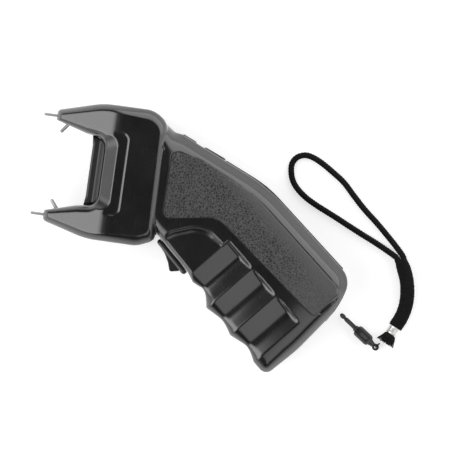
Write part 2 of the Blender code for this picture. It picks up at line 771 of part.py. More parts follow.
def housing(name, side, finish, parent):
    """One half of the casing, drawn with its outside up; the right one is then turned over."""
    shell = as_object(grip_half(), name)
    grooves = [groove_cutter(GROOVE_FIRST + GROOVE_PITCH * index, depth)
               for index, depth in enumerate(FRONT_DEPTHS)]
    combine(shell, grooves + [index_cutter()], "DIFFERENCE")
    combine(shell, [head_half()], "UNION")
    combine(shell, fork_cutters() + cavity_cutters(), "DIFFERENCE")
    level = SKIN_HALF - PAD_SEAT_DEPTH
    pad_bed = prism(rounded(pad_corners(side_pad_end(side)), -GAP), level, HALF_THICKNESS + 1)
    combine(shell, [pad_bed], "DIFFERENCE")
    boss, shank, head = BOSS_DIAMETER / 2, SCREW_SHANK_DIAMETER / 2 + GAP, SCREW_HEAD_DIAMETER / 2 + GAP
    bosses = [turned(((boss, FINE), (boss, CAVITY_HALF + 1)), 16, standing(p)) for p in screw_places()]
    combine(shell, bosses, "UNION")
    if side > 0:
        span = (battery_top() + GAP, CAVITY_HALF + 1)
        ribs = [block(about(u, RIB_THICKNESS / 2), about(BATTERY_CENTRE, RIB_LENGTH / 2), span, GRIP.matrix)
                for u in (BATTERY_START + RIB_INSET, BATTERY_START + BATTERY_LENGTH - RIB_INSET)]
        combine(shell, ribs, "UNION")
        reach = SCREW_LENGTH - SCREW_SEAT + 1.0
        holes = [turned(((shank, -1), (shank, reach)), 12, standing(p)) for p in screw_places()]
    else:
        post, seat = BOARD_POST_DIAMETER / 2, SCREW_SEAT - GAP
        posts = [turned(((post, -BOARD_LEVEL + GAP), (post, CAVITY_HALF + 1)), 12, standing(p))
                 for p in board_posts()]
        combine(shell, posts, "UNION")
        profile = ((shank, -1), (shank, seat), (head, seat), (head, HALF_THICKNESS + 1))
        holes = [turned(profile, 16, standing(p)) for p in screw_places()]
        holes += door_recess() + [battery_window()]
    combine(shell, holes + shared_cutters(), "DIFFERENCE")
    parting = block((-100, 100), (-80, 80), (-2.0, GAP / 2))
    combine(shell, [parting], "DIFFERENCE")
    if side < 0:
        turn_over(shell)
    return piece(name, shell, finish, parent)


def turn_over(thing):
    """Mirrors an object's mesh through the parting plane."""
    bm = bmesh.new()
    bm.from_mesh(thing.data)
    bmesh.ops.scale(bm, vec=(1, 1, -1), verts=bm.verts)
    bmesh.ops.reverse_faces(bm, faces=bm.faces)
    bm.to_mesh(thing.data)
    bm.free()


def battery_top():
    return BATTERY_THICKNESS - (HALF_THICKNESS - DOOR_THICKNESS - 2 * GAP)


def board_posts():
    return ((-14.0, 34.0), (13.0, 25.0), (-12.0, 17.0))


def side_pad_end(side):
    """The left pad runs down to the butt, and the right one stops before the battery door."""
    return DOOR_END if side > 0 else DOOR_START - DOOR_TONGUE - WALL


def side_pad(name, side, finish, parent):
    low = SKIN_HALF - PAD_SEAT_DEPTH + GAP
    top = HALF_THICKNESS
    bm = layered(pad_corners(side_pad_end(side)), ((0.0, low), (0.0, top - PAD_EDGE * 0.8), (PAD_EDGE, top)))
    pad = as_object(bm, name)
    if side < 0:
        turn_over(pad)
    return piece(name, pad, finish, parent)


def spine_stretch(region, proud, depth, half):
    """A band along the back of the grip, cut to one stretch of it."""
    band = as_object(prism(rounded(grip_corners(), -proud), -half, half))
    combine(band, [prism(rounded(grip_corners(), depth), -half - 1, half + 1)], "DIFFERENCE")
    combine(band, [region], "INTERSECT")
    return taken(band)


def spine_strips(finish, parent):
    for name, region in zip(("upper_spine_strip", "lower_spine_strip"), spine_regions(0.0)):
        piece(name, spine_stretch(region, SPINE_PROUD, SPINE_DEPTH, SPINE_HALF), finish, parent)


def fork_half(x):
    """Half the width of the gap between the arms, near its base."""
    share = (x - FORK_KNEE_X) / (FORK_BASE_X - FORK_KNEE_X)
    return FORK_KNEE_HALF + share * (FORK_BASE_HALF - FORK_KNEE_HALF)


def electrode_carrier(finish, parent):
    """The insert between the arms, whose ends run out along them in thin lips."""
    rear, room = FORK_BASE_X - GAP, 1.2 * GAP
    corners = mirrored((
        (CARRIER_FRONT_X, CARRIER_FRONT_HALF, 3.0),
        (CARRIER_LIP_X, fork_half(CARRIER_LIP_X) - room, 0.2),
        (rear, fork_half(rear) - room, 5.6),
    ))
    half = DISH_FLOOR_HALF - GAP
    carrier = as_object(layered(corners, ((0.6, -half), (0.0, -half + 0.6), (0.0, half - 0.6), (0.6, half))))
    tongue = block((rear - 1, FORK_BASE_X + CARRIER_TONGUE), about(HEAD_AXIS_Y, CARRIER_TONGUE_WIDTH / 2),
                   about(0, CARRIER_TONGUE_HALF))
    combine(carrier, [tongue], "UNION")
    return piece("electrode_carrier", carrier, finish, parent)


def electrodes(finish, parent):
    for side, word in zip(HALVES, ("upper", "lower")):
        names = (f"{word}_contact_electrode", f"{word}_spark_electrode")
        for name, profile, place in zip(names, electrode_profiles(), electrode_places(side)):
            piece(name, turned(profile, 12, place), finish, parent)


def high_voltage(finish, lead_finish, parent):
    """The potted output stage in the head and its lead to each arm."""
    left, right, half = DISH_RIM_X + 0.4 + 2 * GAP, -26.0, 13.0
    module = block((left, right), about(HEAD_AXIS_Y, half), about(0, CAVITY_HALF - GAP), edge=1.0)
    piece("high_voltage_module", module, finish, parent)
    for side, word in zip(HALVES, ("upper", "lower")):
        end_x = CONTACT_INNER_X + GAP
        route = [(-36.0, half + GAP), (-36.0, half + 3), (-38.0, half + 8), (-45.0, 26.6), (-54.0, 27.4),
                 (-64.0, 27.0), (end_x + 3, CONTACT_HALF + 0.1), (end_x, CONTACT_HALF)]
        points = smooth([(x, head_y(side * y), 0.0) for x, y in route], 3.0)
        wire(f"{word}_high_voltage_lead", points, HIGH_VOLTAGE_LEAD_DIAMETER, lead_finish, parent)


def board(finishes, parent):
    """The driver board on its posts, with what is soldered to it."""
    top = BOARD_LEVEL + BOARD_THICKNESS
    seat = top + GAP
    plan = rounded([(x, y, 1.0) for x, y in BOARD_CORNERS], steps=2)
    piece("circuit_board", prism(plan, BOARD_LEVEL, top), finishes["board"], parent)
    transformer(seat, finishes, parent)
    radius, length = CAPACITOR_RADIUS, CAPACITOR_LENGTH
    lying = Matrix.Rotation(math.radians(90), 4, "Y")
    can = turned(((radius - 0.4, 0), (radius, 0.4), (radius, 2.0), (radius - 0.3, 2.6), (radius, 3.2),
                  (radius, length - 0.4), (radius - 0.4, length)), 20,
                 standing(CAPACITOR_PLACE, seat + radius) @ lying)
    piece("main_capacitor", can, finishes["can"], parent)
    (x, y), (length, width, height) = TRANSISTOR_PLACE, TRANSISTOR_SIZE
    body = block(about(x, length / 2), about(y, width / 2), (seat, seat + height), edge=0.4)
    piece("power_transistor", body, finishes["black"], parent)
    back = x + length / 2 + GAP
    tab = block((back, back + SINK_THICKNESS), about(y, width / 2 + 0.2), (seat, seat + SINK_HEIGHT),
                edge=0.2)
    piece("heat_sink", tab, finishes["metal"], parent)
    radius, length = RESISTOR_RADIUS, RESISTOR_LENGTH
    for index, place in enumerate(RESISTOR_PLACES):
        small = turned(((radius - 0.2, 0), (radius, 0.5), (radius, length - 0.5), (radius - 0.2, length)), 10,
                       standing(place, seat + radius) @ lying)
        piece(f"board_resistor_{index + 1}", small, finishes["resistor"], parent)


def transformer(seat, finishes, parent):
    """A ferrite core that is open on both sides, with the winding on its bobbin across the top."""
    (x, y), (length, width, height) = CORE_PLACE, CORE_SIZE
    room = about(x, length / 2 - CORE_LIMB)
    core = as_object(block(about(x, length / 2), about(y, width / 2), (seat, seat + height), edge=0.4))
    past = about(y, width / 2 + 2)
    combine(core, [block(room, past, (seat - 1, seat + CORE_YOKE)),
                   block(room, past, (seat + height - CORE_YOKE, seat + height + 1))], "DIFFERENCE")
    piece("transformer_core", core, finishes["ferrite"], parent)
    low = seat + height - CORE_YOKE + GAP
    half = width / 2 - WINDING_INSET / 2
    winding = as_object(block((room[0] + 0.4, room[1] - 0.4), about(y, half),
                              (low, low + WINDING_HEIGHT), edge=0.6))
    flanges = [block((room[0] + GAP, room[1] - GAP), about(y + side * half, FLANGE_WIDTH / 2),
                     (low, low + WINDING_HEIGHT + 0.3)) for side in HALVES]
    combine(winding, flanges, "UNION")
    piece("transformer_winding", winding, finishes["copper"], parent)


def battery(finishes, parent):
    """The nine-volt block on the door, its snap and the two leads to the board."""
    low = -(HALF_THICKNESS - DOOR_THICKNESS - 2 * GAP)
    end = BATTERY_START + BATTERY_LENGTH
    half = BATTERY_WIDTH / 2
    middle = low + BATTERY_THICKNESS / 2
    cell = as_object(block((BATTERY_START, end), about(BATTERY_CENTRE, half), (low, low + BATTERY_THICKNESS),
                           GRIP.matrix, edge=1.2))
    studs = [turned(((radius, -TERMINAL_HEIGHT), (radius, 1.0)), 12,
                    GRIP.spin(BATTERY_START, BATTERY_CENTRE + across, middle))
             for across, radius in ((-TERMINAL_PITCH / 2, 2.9), (TERMINAL_PITCH / 2, 3.6))]
    combine(cell, studs, "UNION")
    piece("battery", cell, finishes["jacket"], parent)
    snap_top = BATTERY_START - GAP - TERMINAL_HEIGHT
    snap = block((snap_top - SNAP_THICKNESS, snap_top), about(BATTERY_CENTRE, BATTERY_WIDTH / 2 - 1.2),
                 about(middle, 4.0), GRIP.matrix, edge=0.5)
    piece("battery_snap", snap, finishes["black"], parent)
    board_top = BOARD_LEVEL + BOARD_THICKNESS + GAP
    leads = (("red_battery_lead", -3.0, RED_LEAD_PLACE), ("black_battery_lead", 3.0, BLACK_LEAD_PLACE))
    for name, across, (x, y) in leads:
        start = (*GRIP.at(snap_top - SNAP_THICKNESS - GAP, BATTERY_CENTRE + across), middle + 2)
        ahead = (*GRIP.at(snap_top - SNAP_THICKNESS - 4, BATTERY_CENTRE + across), middle + 4)
        route = [start, ahead, (x + 2.0, y + 0.4, board_top + 6), (x, y, board_top + 3.6), (x, y, board_top)]
        finish = finishes["red" if name.startswith("red") else "black"]
        wire(name, smooth(route, 2.5), LEAD_DIAMETER, finish, parent, 1)


def battery_door(finish, parent):
    """The door lies level with the pad, and its tongue reaches under the edge of its bed."""
    low, high = HALF_THICKNESS - DOOR_THICKNESS, HALF_THICKNESS
    near, far = about(BATTERY_CENTRE, DOOR_WIDTH / 2)
    corners = ((DOOR_START, near, 1.0), (DOOR_END, near, 1.0), (DOOR_END, far - DOOR_CORNER_WIDTH, 3.0),
               (DOOR_END - DOOR_CORNER_LENGTH, far, 3.0), (DOOR_START, far, 1.0))
    door = as_object(layered(corners, ((0.0, low), (0.0, high - 0.7), (0.8, high)), GRIP.matrix))
    across = about(BATTERY_CENTRE, DOOR_TONGUE_WIDTH / 2)
    bottom = low - DOOR_TONGUE_DROP
    leg = block((DOOR_START + 0.4, DOOR_START + 1.8), across, (bottom, low + 0.5), GRIP.matrix)
    tongue = block((DOOR_START - DOOR_TONGUE, DOOR_START + 1.2), across, (bottom, low - 2 * GAP), GRIP.matrix)
    combine(door, [leg, tongue], "UNION")
    notches = [block((DOOR_END - 12 + 2.4 * index, DOOR_END - 10.8 + 2.4 * index), about(BATTERY_CENTRE, 7),
                     (high - 0.6, high + 1), GRIP.matrix) for index in range(4)]
    combine(door, notches, "DIFFERENCE")
    turn_over(door)
    return piece("battery_door", door, finish, parent)


def rocker_switch(finishes, parent):
    """A momentary rocker in its own body, snapped into the front of the neck."""
    body_half = SWITCH_LENGTH / 2
    plan = rectangle(*about(0, BEZEL_LENGTH / 2), *about(0, BEZEL_WIDTH / 2))
    bezel = layered([(x, y, 2.0) for x, y in plan],
                    ((0.0, GAP), (0.0, BEZEL_HEIGHT - 0.8), (0.9, BEZEL_HEIGHT)),
                    TRIGGER.matrix @ Matrix.Rotation(math.radians(90), 4, "X"))
    body = as_object(bezel, "switch_body")
    box = block(about(0, body_half), (-GAP - 0.5, SWITCH_DEPTH), about(0, SWITCH_WIDTH / 2), TRIGGER.matrix)
    combine(body, [box], "UNION")
    well = ROCKER_WIDTH / 2 + GAP
    rocker_half = body_half - SWITCH_WALL
    pivot = (*TRIGGER.at(0, ROCKER_PIVOT_DEPTH), 0.0)
    pin = ROCKER_PIN_DIAMETER / 2
    mouth = block(about(0, rocker_half + 2 * GAP), (-BEZEL_HEIGHT - 1, WELL_DEPTH), about(0, well),
                  TRIGGER.matrix)
    bearing = turned(((pin + GAP, -well - 1), (pin + GAP, well + 1)), 12, standing(pivot))
    combine(body, [mouth, bearing], "DIFFERENCE")
    piece("switch_body", body, finishes["switch"], parent)
    face = -BEZEL_HEIGHT
    profile = rounded(((-rocker_half, -2.6, 0.5), (-3.4, face - 0.5, 6.0), (1.0, face - 2.0, 8.0),
                       (5.2, face - 4.4, 1.2), (rocker_half, face - 0.6, 0.6), (rocker_half, 0.0, 0.6),
                       (4.2, ROCKER_FOOT, 1.0), (-4.2, ROCKER_FOOT, 1.0), (-rocker_half, -0.6, 0.6)), steps=3)
    rocker = as_object(prism(profile, -ROCKER_WIDTH / 2, ROCKER_WIDTH / 2, TRIGGER.matrix))
    combine(rocker, [turned(((pin + GAP, -10), (pin + GAP, 10)), 12, standing(pivot))], "DIFFERENCE")
    piece("rocker", rocker, finishes["rocker"], parent, pivot)
    pin_half = SWITCH_WIDTH / 2 - 0.4
    shaft = turned(((pin, -pin_half), (pin, pin_half)), 12, standing(pivot))
    piece("rocker_pin", shaft, finishes["metal"], parent)
    seat = TRIGGER.matrix @ Matrix.Translation((SPRING_PLACE, ROCKER_FOOT + GAP, 0))
    depth = WELL_DEPTH - ROCKER_FOOT - 2 * GAP
    coils = [(SPRING_RADIUS - 0.35 * (index % 2), depth * index / 8) for index in range(9)]
    spring = turned(coils, 12, seat @ Matrix.Rotation(math.radians(-90), 4, "X"))
    piece("rocker_spring", spring, finishes["metal"], parent)
    for index, u in enumerate((-5.0, 4.2)):
        lug = block((u, u + 0.8), (SWITCH_DEPTH + GAP, SWITCH_DEPTH + 6), (-2.2, 2.2), TRIGGER.matrix)
        piece(f"switch_lug_{index + 1}", lug, finishes["metal"], parent)


def safety_slider(finishes, parent):
    """The thumb slider on the back, with its stem through the wall and the slide switch beneath."""
    half, stem = SLIDER_LENGTH / 2, SLIDER_STEM / 2
    corners = [(x, y, 1.6) for x, y in rectangle(-half, half, *about(0, SLIDER_WIDTH / 2))]
    upright = SLIDER.matrix @ Matrix.Rotation(math.radians(-90), 4, "X")
    levels = ((0.0, GAP), (0.0, SLIDER_PROUD - 0.5), (0.8, SLIDER_PROUD))
    knob = as_object(layered(corners, levels, upright, 2))
    foot = -WALL - GAP
    post = block(about(0, stem), (foot - STEM_FOOT, GAP + 0.5), about(0, SLIDER_STEM_WIDTH / 2),
                 SLIDER.matrix)
    combine(knob, [post], "UNION")
    notches = [block((u, u + 0.8), (SLIDER_PROUD - 0.5, 4), about(0, SLIDER_WIDTH / 2 - 1.6), SLIDER.matrix)
               for u in (-3.6, -1.8, 0.0, 1.8)]
    combine(knob, notches, "DIFFERENCE")
    piece("safety_slider", knob, finishes["rocker"], parent, (*SLIDER.at(0, 0), 0.0))
    base = foot - STEM_FOOT - GAP
    lever = block(about(0, LEVER_HALF), (base - LEVER_HEIGHT, base), about(0, LEVER_WIDTH / 2), SLIDER.matrix)
    piece("slide_switch_lever", lever, finishes["switch"], parent, (*SLIDER.at(0, 0), 0.0))
    case_top = base - 1.2
    span = (-LEVER_HALF - SLIDER_TRAVEL - GAP, LEVER_HALF + GAP)
    case = as_object(block((span[0] - 4.5, span[1] + 4.5), (case_top - 4.4, case_top),
                           about(0, LEVER_WIDTH / 2 + 2), SLIDER.matrix, edge=0.3))
    track = block(span, (base - LEVER_HEIGHT - GAP, 4), about(0, LEVER_WIDTH / 2 + GAP), SLIDER.matrix)
    combine(case, [track], "DIFFERENCE")
    piece("slide_switch_case", case, finishes["metal"], parent)


def safety_socket(finishes, parent):
    """The small jack in the butt that the strap's plug closes."""
    radius, bore = SOCKET_DIAMETER / 2, SOCKET_BORE / 2
    rim = radius + SOCKET_RIM
    profile = ((radius, -SOCKET_LENGTH), (radius, GAP), (rim, GAP), (rim, 1.2), (rim - 0.4, 1.6))
    barrel = as_object(turned(profile, 20, SOCKET.spin()))
    combine(barrel, [turned(((bore, -SOCKET_LENGTH + 1.2), (bore, 3.0)), 16, SOCKET.spin())], "DIFFERENCE")
    piece("safety_socket", barrel, finishes["metal"], parent)
    nut = as_object(turned(((SOCKET_NUT / 2, -WALL - 2.4), (SOCKET_NUT / 2, -WALL - 0.6)), 6, SOCKET.spin()))
    combine(nut, [turned(((radius + GAP, -8), (radius + GAP, 2)), 20, SOCKET.spin())], "DIFFERENCE")
    piece("socket_nut", nut, finishes["metal"], parent)


def housing_screws(finish, parent):
    shank, head = SCREW_SHANK_DIAMETER / 2, SCREW_HEAD_DIAMETER / 2
    seat, tip = -SCREW_SEAT, SCREW_LENGTH - SCREW_SEAT
    top = seat - SCREW_HEAD_HEIGHT
    profile = ((head * 0.8, top), (head, top + 0.6), (head, seat), (shank, seat), (shank, tip - 1),
               (shank * 0.4, tip))
    for index, place in enumerate(screw_places()):
        screw = as_object(turned(profile, 12, standing(place)))
        slots = [block(about(0, 1.5), about(0, 0.35), about(top, 1),
                       standing(place) @ Matrix.Rotation(math.radians(turn), 4, "Z")) for turn in (0, 90)]
        combine(screw, slots, "DIFFERENCE")
        piece(f"housing_screw_{index + 1}", screw, finish, parent)


def wrist_strap(finishes, parent):
    """The loose strap: a loop of cord, its sleeve, the ferrule and the frayed tail."""
    lying = CORD_DIAMETER / 2
    cord_line = [(x, y, max(lying, z)) for x, y, z in smooth(CORD_ROUTE, 2.2 * CORD_DIAMETER)]
    wire("wrist_cord", cord_line, CORD_DIAMETER, finishes["cord"], parent)
    sleeve_line = smooth([(x, y, SLEEVE_DIAMETER / 2) for x, y in SLEEVE_ROUTE], 3.0)
    wire("cord_sleeve", sleeve_line, SLEEVE_DIAMETER, finishes["cord"], parent, 3)
    end, before = Vector(sleeve_line[-1]), Vector(sleeve_line[-2])
    heading = (end - before).normalized()
    run = Frame(end.x, end.y, math.degrees(math.atan2(heading.y, heading.x)))
    ferrule, radius = FERRULE_DIAMETER / 2, SLEEVE_DIAMETER / 2
    level = Matrix.Translation((0, 0, radius))
    band = turned(((ferrule - 0.5, GAP), (ferrule, GAP + 0.5), (ferrule, FERRULE_LENGTH - 0.5),
                   (ferrule - 0.5, FERRULE_LENGTH)), 16, level @ run.spin())
    piece("cord_ferrule", band, finishes["metal"], parent)
    tail, start = TAIL_DIAMETER / 2, FERRULE_LENGTH + GAP
    knot = turned(((2.4, start), (3.1, start + 1.0), (tail * 0.84, start + 2.2),
                   (tail, start + 0.6 * TAIL_LENGTH), (tail * 0.9, start + 0.85 * TAIL_LENGTH),
                   (tail * 0.6, start + TAIL_LENGTH)), 12, level @ run.spin())
    flatten = Matrix.Translation((0, 0, -radius))
    bmesh.ops.scale(knot, vec=(1, 1, radius / tail * 0.98), verts=knot.verts, space=flatten)
    piece("cord_tail", knot, finishes["cord"], parent)


def plug(finishes, parent):
    """The safety plug: pin, grip with a thumb tongue, and the eye that its tie passes through."""
    height = PLUG_GRIP_HEIGHT
    centre = height / 2
    half = PLUG_GRIP_WIDTH / 2
    corners = [(x, y, 1.2) for x, y in rectangle(0, PLUG_GRIP_LENGTH, -half, half)]
    pivot = (*PLUG.at(-PLUG_NECK_LENGTH - EYE_DIAMETER / 2, 0), centre)
    levels = ((0.8, 0.0), (0.0, 0.8), (0.0, height - 0.8), (0.8, height))
    grip = as_object(layered(corners, levels, PLUG.matrix, 3))
    start, end, across, floor = 1.6, PLUG_GRIP_LENGTH - 2.4, half - 1.8, height - 1.0
    combine(grip, [block((start, end), about(0, across), (floor, height + 1), PLUG.matrix)], "DIFFERENCE")
    piece("plug_grip", grip, finishes["switch"], parent, pivot)
    tongue = block((start + GAP, end - GAP), about(0, across - GAP), (floor + GAP, height - 0.1), PLUG.matrix,
                   edge=0.25)
    piece("plug_tongue", tongue, finishes["tongue"], parent, pivot)
    radius = PLUG_PIN_DIAMETER / 2
    root = PLUG_GRIP_LENGTH + GAP
    tip = root + PLUG_PIN_LENGTH
    pin = turned(((radius + 0.5, root), (radius + 0.5, root + 1.0), (radius, root + 1.4), (radius, tip - 4.2),
                  (radius * 0.72, tip - 3.5), (radius * 0.72, tip - 3.2), (radius * 1.08, tip - 2.2),
                  (radius, tip - 0.9), (radius * 0.4, tip)), 12, PLUG.spin(0, 0, centre))
    piece("plug_pin", pin, finishes["pin"], parent, pivot)
    neck_profile = ((1.0, -PLUG_NECK_LENGTH - 0.5), (1.4, -1.2), (1.8, -GAP))
    neck = as_object(turned(neck_profile, 12, PLUG.spin(0, 0, centre)))
    eye, hole, thick = EYE_DIAMETER / 2, EYE_HOLE / 2, EYE_THICKNESS / 2
    ring = Matrix.Translation(pivot)
    combine(neck, [turned(((eye, -thick), (eye, thick)), 16, ring)], "UNION")
    combine(neck, [turned(((hole, -3), (hole, 3)), 12, ring)], "DIFFERENCE")
    piece("plug_eye", neck, finishes["switch"], parent, pivot)
    x, y, z = pivot
    over = thick + GAP + TIE_DIAMETER
    route = [(x + dx, y + dy, z + dz) for dx, dy, dz in (
        (1.9, 2.2, 1.3), (1.1, 1.3, over), (0.3, 0.3, over - 0.1), (0.0, 0.0, 0.5), (0.0, 0.0, -0.5),
        (0.3, 0.3, 0.1 - over), (1.1, 1.3, -over), (1.9, 2.2, -1.1))]
    wire("plug_tie", smooth(route, 1.1), TIE_DIAMETER, finishes["cord"], parent, 1)


def build():
    clear_scene()
    black = material("black gloss plastic", (0.02, 0.02, 0.022), 0.35)
    soft = material("textured grip rubber", (0.035, 0.035, 0.037), 0.6)
    dull = material("black insulating plastic", (0.012, 0.012, 0.013), 0.5)
    steel = material("bright steel", (0.62, 0.62, 0.62), 0.28, 1.0)
    finishes = {
        "board": material("board green", (0.03, 0.14, 0.06), 0.5),
        "ferrite": material("ferrite grey", (0.05, 0.05, 0.055), 0.7),
        "copper": material("enamelled copper", (0.55, 0.22, 0.08), 0.35, 1.0),
        "can": material("capacitor sleeve", (0.02, 0.03, 0.10), 0.4),
        "jacket": material("battery jacket", (0.25, 0.22, 0.12), 0.35, 0.6),
        "resistor": material("resistor body", (0.45, 0.30, 0.16), 0.5),
        "red": material("red lead", (0.45, 0.02, 0.02), 0.45),
        "black": dull,
        "metal": steel,
        "switch": material("switch plastic", (0.015, 0.015, 0.016), 0.4),
        "rocker": material("rocker plastic", (0.022, 0.022, 0.024), 0.35),
        "cord": material("braided black cord", (0.012, 0.012, 0.012), 0.8),
        "tongue": material("grey plug tongue", (0.07, 0.07, 0.07), 0.5),
        "pin": material("dark plug pin", (0.10, 0.10, 0.10), 0.35, 0.6),
    }
    device = bpy.data.objects.new("device", None)
    device.location.z = HALF_THICKNESS * METRE
    strap = bpy.data.objects.new("strap", None)
    for holder in (device, strap):
        bpy.context.scene.collection.objects.link(holder)
    housing("left_housing", 1, black, device)
    housing("right_housing", -1, black, device)
    side_pad("left_side_pad", 1, soft, device)
    side_pad("right_side_pad", -1, soft, device)
    spine_strips(dull, device)
    battery_door(soft, device)
    electrode_carrier(dull, device)
    electrodes(steel, device)
    high_voltage(material("potting resin", (0.03, 0.03, 0.035), 0.45), finishes["red"], device)
    board(finishes, device)
    battery(finishes, device)
    rocker_switch(finishes, device)
    safety_slider(finishes, device)
    safety_socket(finishes, device)
    housing_screws(steel, device)
    wrist_strap(finishes, strap)
    plug(finishes, strap)


build()
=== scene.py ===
# %% [markdown]
# A livestock prod, dressed over its mechanical model.
# The prod is a moulded pistol grip with a forked electrode head, and beside it lies its wrist strap with
# the safety plug. The mechanical model is loaded first and never changed. Every piece made here either
# stands for one of its nodes or gives a node its finish. Shapes are drawn in millimetres about the plane
# where the two halves of the casing meet, because that is how the real tool was drawn.

# %% Load the mechanical model
import math

import bmesh
import bpy
from mathutils import Matrix, Vector, noise


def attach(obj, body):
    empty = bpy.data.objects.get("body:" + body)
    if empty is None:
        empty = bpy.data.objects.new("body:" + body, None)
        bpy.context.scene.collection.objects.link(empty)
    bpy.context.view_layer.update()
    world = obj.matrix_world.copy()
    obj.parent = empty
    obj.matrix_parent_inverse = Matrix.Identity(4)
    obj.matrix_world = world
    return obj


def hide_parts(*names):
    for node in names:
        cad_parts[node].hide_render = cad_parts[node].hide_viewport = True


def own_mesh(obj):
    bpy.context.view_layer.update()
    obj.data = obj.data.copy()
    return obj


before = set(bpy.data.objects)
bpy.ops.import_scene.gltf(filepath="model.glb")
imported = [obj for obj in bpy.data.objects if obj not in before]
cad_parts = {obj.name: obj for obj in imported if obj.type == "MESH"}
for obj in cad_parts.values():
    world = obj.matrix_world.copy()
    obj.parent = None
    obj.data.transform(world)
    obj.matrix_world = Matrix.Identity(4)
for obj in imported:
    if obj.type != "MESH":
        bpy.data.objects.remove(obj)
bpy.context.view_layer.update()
MM = 0.001
PARTING = 19.0  # height of the parting plane above the surface
print("nodes in the model:", len(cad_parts))

# %% [markdown]
# The camera looks straight down on the prod, which lies on its right side. A long lens far away keeps the
# outlines nearly parallel, as in a catalogue picture, and the picture is turned by a few degrees.

# %% Camera
PICTURE_WIDTH = 450
MM_PER_PIXEL = 0.52
VIEW_CENTRE = (16.9, 9.5)
PICTURE_ROLL = 8.0
CAMERA_HEIGHT = 2.6
SENSOR = 36.0

camera_data = bpy.data.cameras.new("camera")
camera_data.sensor_width = SENSOR
camera_data.lens = SENSOR * CAMERA_HEIGHT / (PICTURE_WIDTH * MM_PER_PIXEL * MM)
camera = bpy.data.objects.new("camera", camera_data)
camera.location = (VIEW_CENTRE[0] * MM, VIEW_CENTRE[1] * MM, CAMERA_HEIGHT + PARTING * MM)
camera.rotation_euler.z = math.radians(PICTURE_ROLL)
bpy.context.scene.collection.objects.link(camera)
bpy.context.scene.camera = camera
bpy.context.scene.view_settings.view_transform = "Standard"
print("lens in millimetres:", round(camera_data.lens))

# %% [markdown]
# Shader maths reads best as formulas. A small class wraps one output socket, and each operator on it adds
# the Math node that does the sum. The reflected forms let a sum start with a number, as in 1 - mask.


# %% Formulas on sockets
class Signal:
    """One output of a node tree, on which sums add Math nodes."""

    def __init__(self, tree, socket):
        self.tree = tree
        self.socket = socket

    def sum_with(self, operation, first, second):
        return self.tree.node("ShaderNodeMath", {"operation": operation}, {0: first, 1: second})

    def __add__(self, other):
        return self.sum_with("ADD", self, other)

    __radd__ = __add__

    def __mul__(self, other):
        return self.sum_with("MULTIPLY", self, other)

    __rmul__ = __mul__

    def __sub__(self, other):
        return self.sum_with("SUBTRACT", self, other)

    def __rsub__(self, other):
        return self.sum_with("SUBTRACT", other, self)

    def __truediv__(self, other):
        return self.sum_with("DIVIDE", self, other)

    def limited(self, low=0.0, high=1.0):
        return self.sum_with("MINIMUM", self.sum_with("MAXIMUM", self, low), high)

    def stepped(self, start, end):
        """A smooth step from 0 at the start to 1 at the end."""
        share = ((self - start) / (end - start)).limited()
        return share * share * (3 - 2 * share)


print("a socket can be added, subtracted, multiplied, divided, limited and stepped")

# %% [markdown]
# A second class owns a node tree. One method makes any kind of node: its settings are set first, then its
# sockets get values or links. The short methods after it only save typing for the nodes that come up often.


# %% Nodes of a tree
class Tree:
    """A node tree and the one method that adds nodes to it."""

    def __init__(self, owner):
        owner.use_nodes = True
        self.nodes = owner.node_tree.nodes
        self.links = owner.node_tree.links

    def feed(self, socket, value):
        if isinstance(value, Signal):
            self.links.new(value.socket, socket)
        else:
            socket.default_value = value

    def node(self, kind, settings=None, inputs=None, output=0):
        made = self.nodes.new(kind)
        for key, value in (settings or {}).items():
            setattr(made, key, value)
        for key, value in (inputs or {}).items():
            self.feed(made.inputs[key], value)
        return Signal(self, made.outputs[output])

    def mixed(self, factor, first, second):
        """A colour between two colours."""
        return self.node("ShaderNodeMix", {"data_type": "RGBA"}, {0: factor, 6: first, 7: second}, 2)

    def dot(self, first, second):
        """How far a vector reaches along another one."""
        return self.node("ShaderNodeVectorMath", {"operation": "DOT_PRODUCT"}, {0: first, 1: second},
                         "Value")

    def place(self, stretch=(1, 1, 1)):
        """Coordinates on the piece in millimetres, stretched along each axis."""
        spot = self.node("ShaderNodeTexCoord", output="Object")
        return self.node("ShaderNodeMapping", {"vector_type": "POINT"},
                         {"Vector": spot, "Scale": [share / MM for share in stretch]})

    def noise(self, place, scale, detail=2.0, roughness=0.5):
        return self.node("ShaderNodeTexNoise", {"noise_dimensions": "3D"},
                         {"Vector": place, "Scale": scale, "Detail": detail, "Roughness": roughness})

    def bump(self, height, strength, distance):
        """A Bump node whose height is given in millimetres."""
        return self.node("ShaderNodeBump", {},
                         {"Strength": strength, "Distance": distance * MM, "Height": height})


print("object coordinates are read in millimetres, at", 1 / MM, "to the metre")

# %% [markdown]
# Every finish starts from the same shader. What stays the same all over a piece, such as the strength of
# its reflection, is a value on the shader itself. What varies is fed by nodes in each finish's own
# function.


# %% Start of a finish
def dielectric(name, specular=0.5):
    """A new material, its tree and its shader."""
    made = bpy.data.materials.new(name)
    tree = Tree(made)
    shader = tree.nodes["Principled BSDF"]
    shader.inputs["Specular IOR Level"].default_value = specular
    return made, tree, shader


print("materials before the first finish:", len(bpy.data.materials))

# %% [markdown]
# The casing is black injection-moulded plastic with a semi-gloss skin. On the real tool its faces are soft
# mirrors of the room, broken by a very fine spark-eroded grain and a few faint rubbed patches. The colour
# changes little, so a clear coat over a rougher base carries the finish, and scuffs thin the coat.

# %% Plastic of the casing
COAT_ROUGHNESS = 0.17


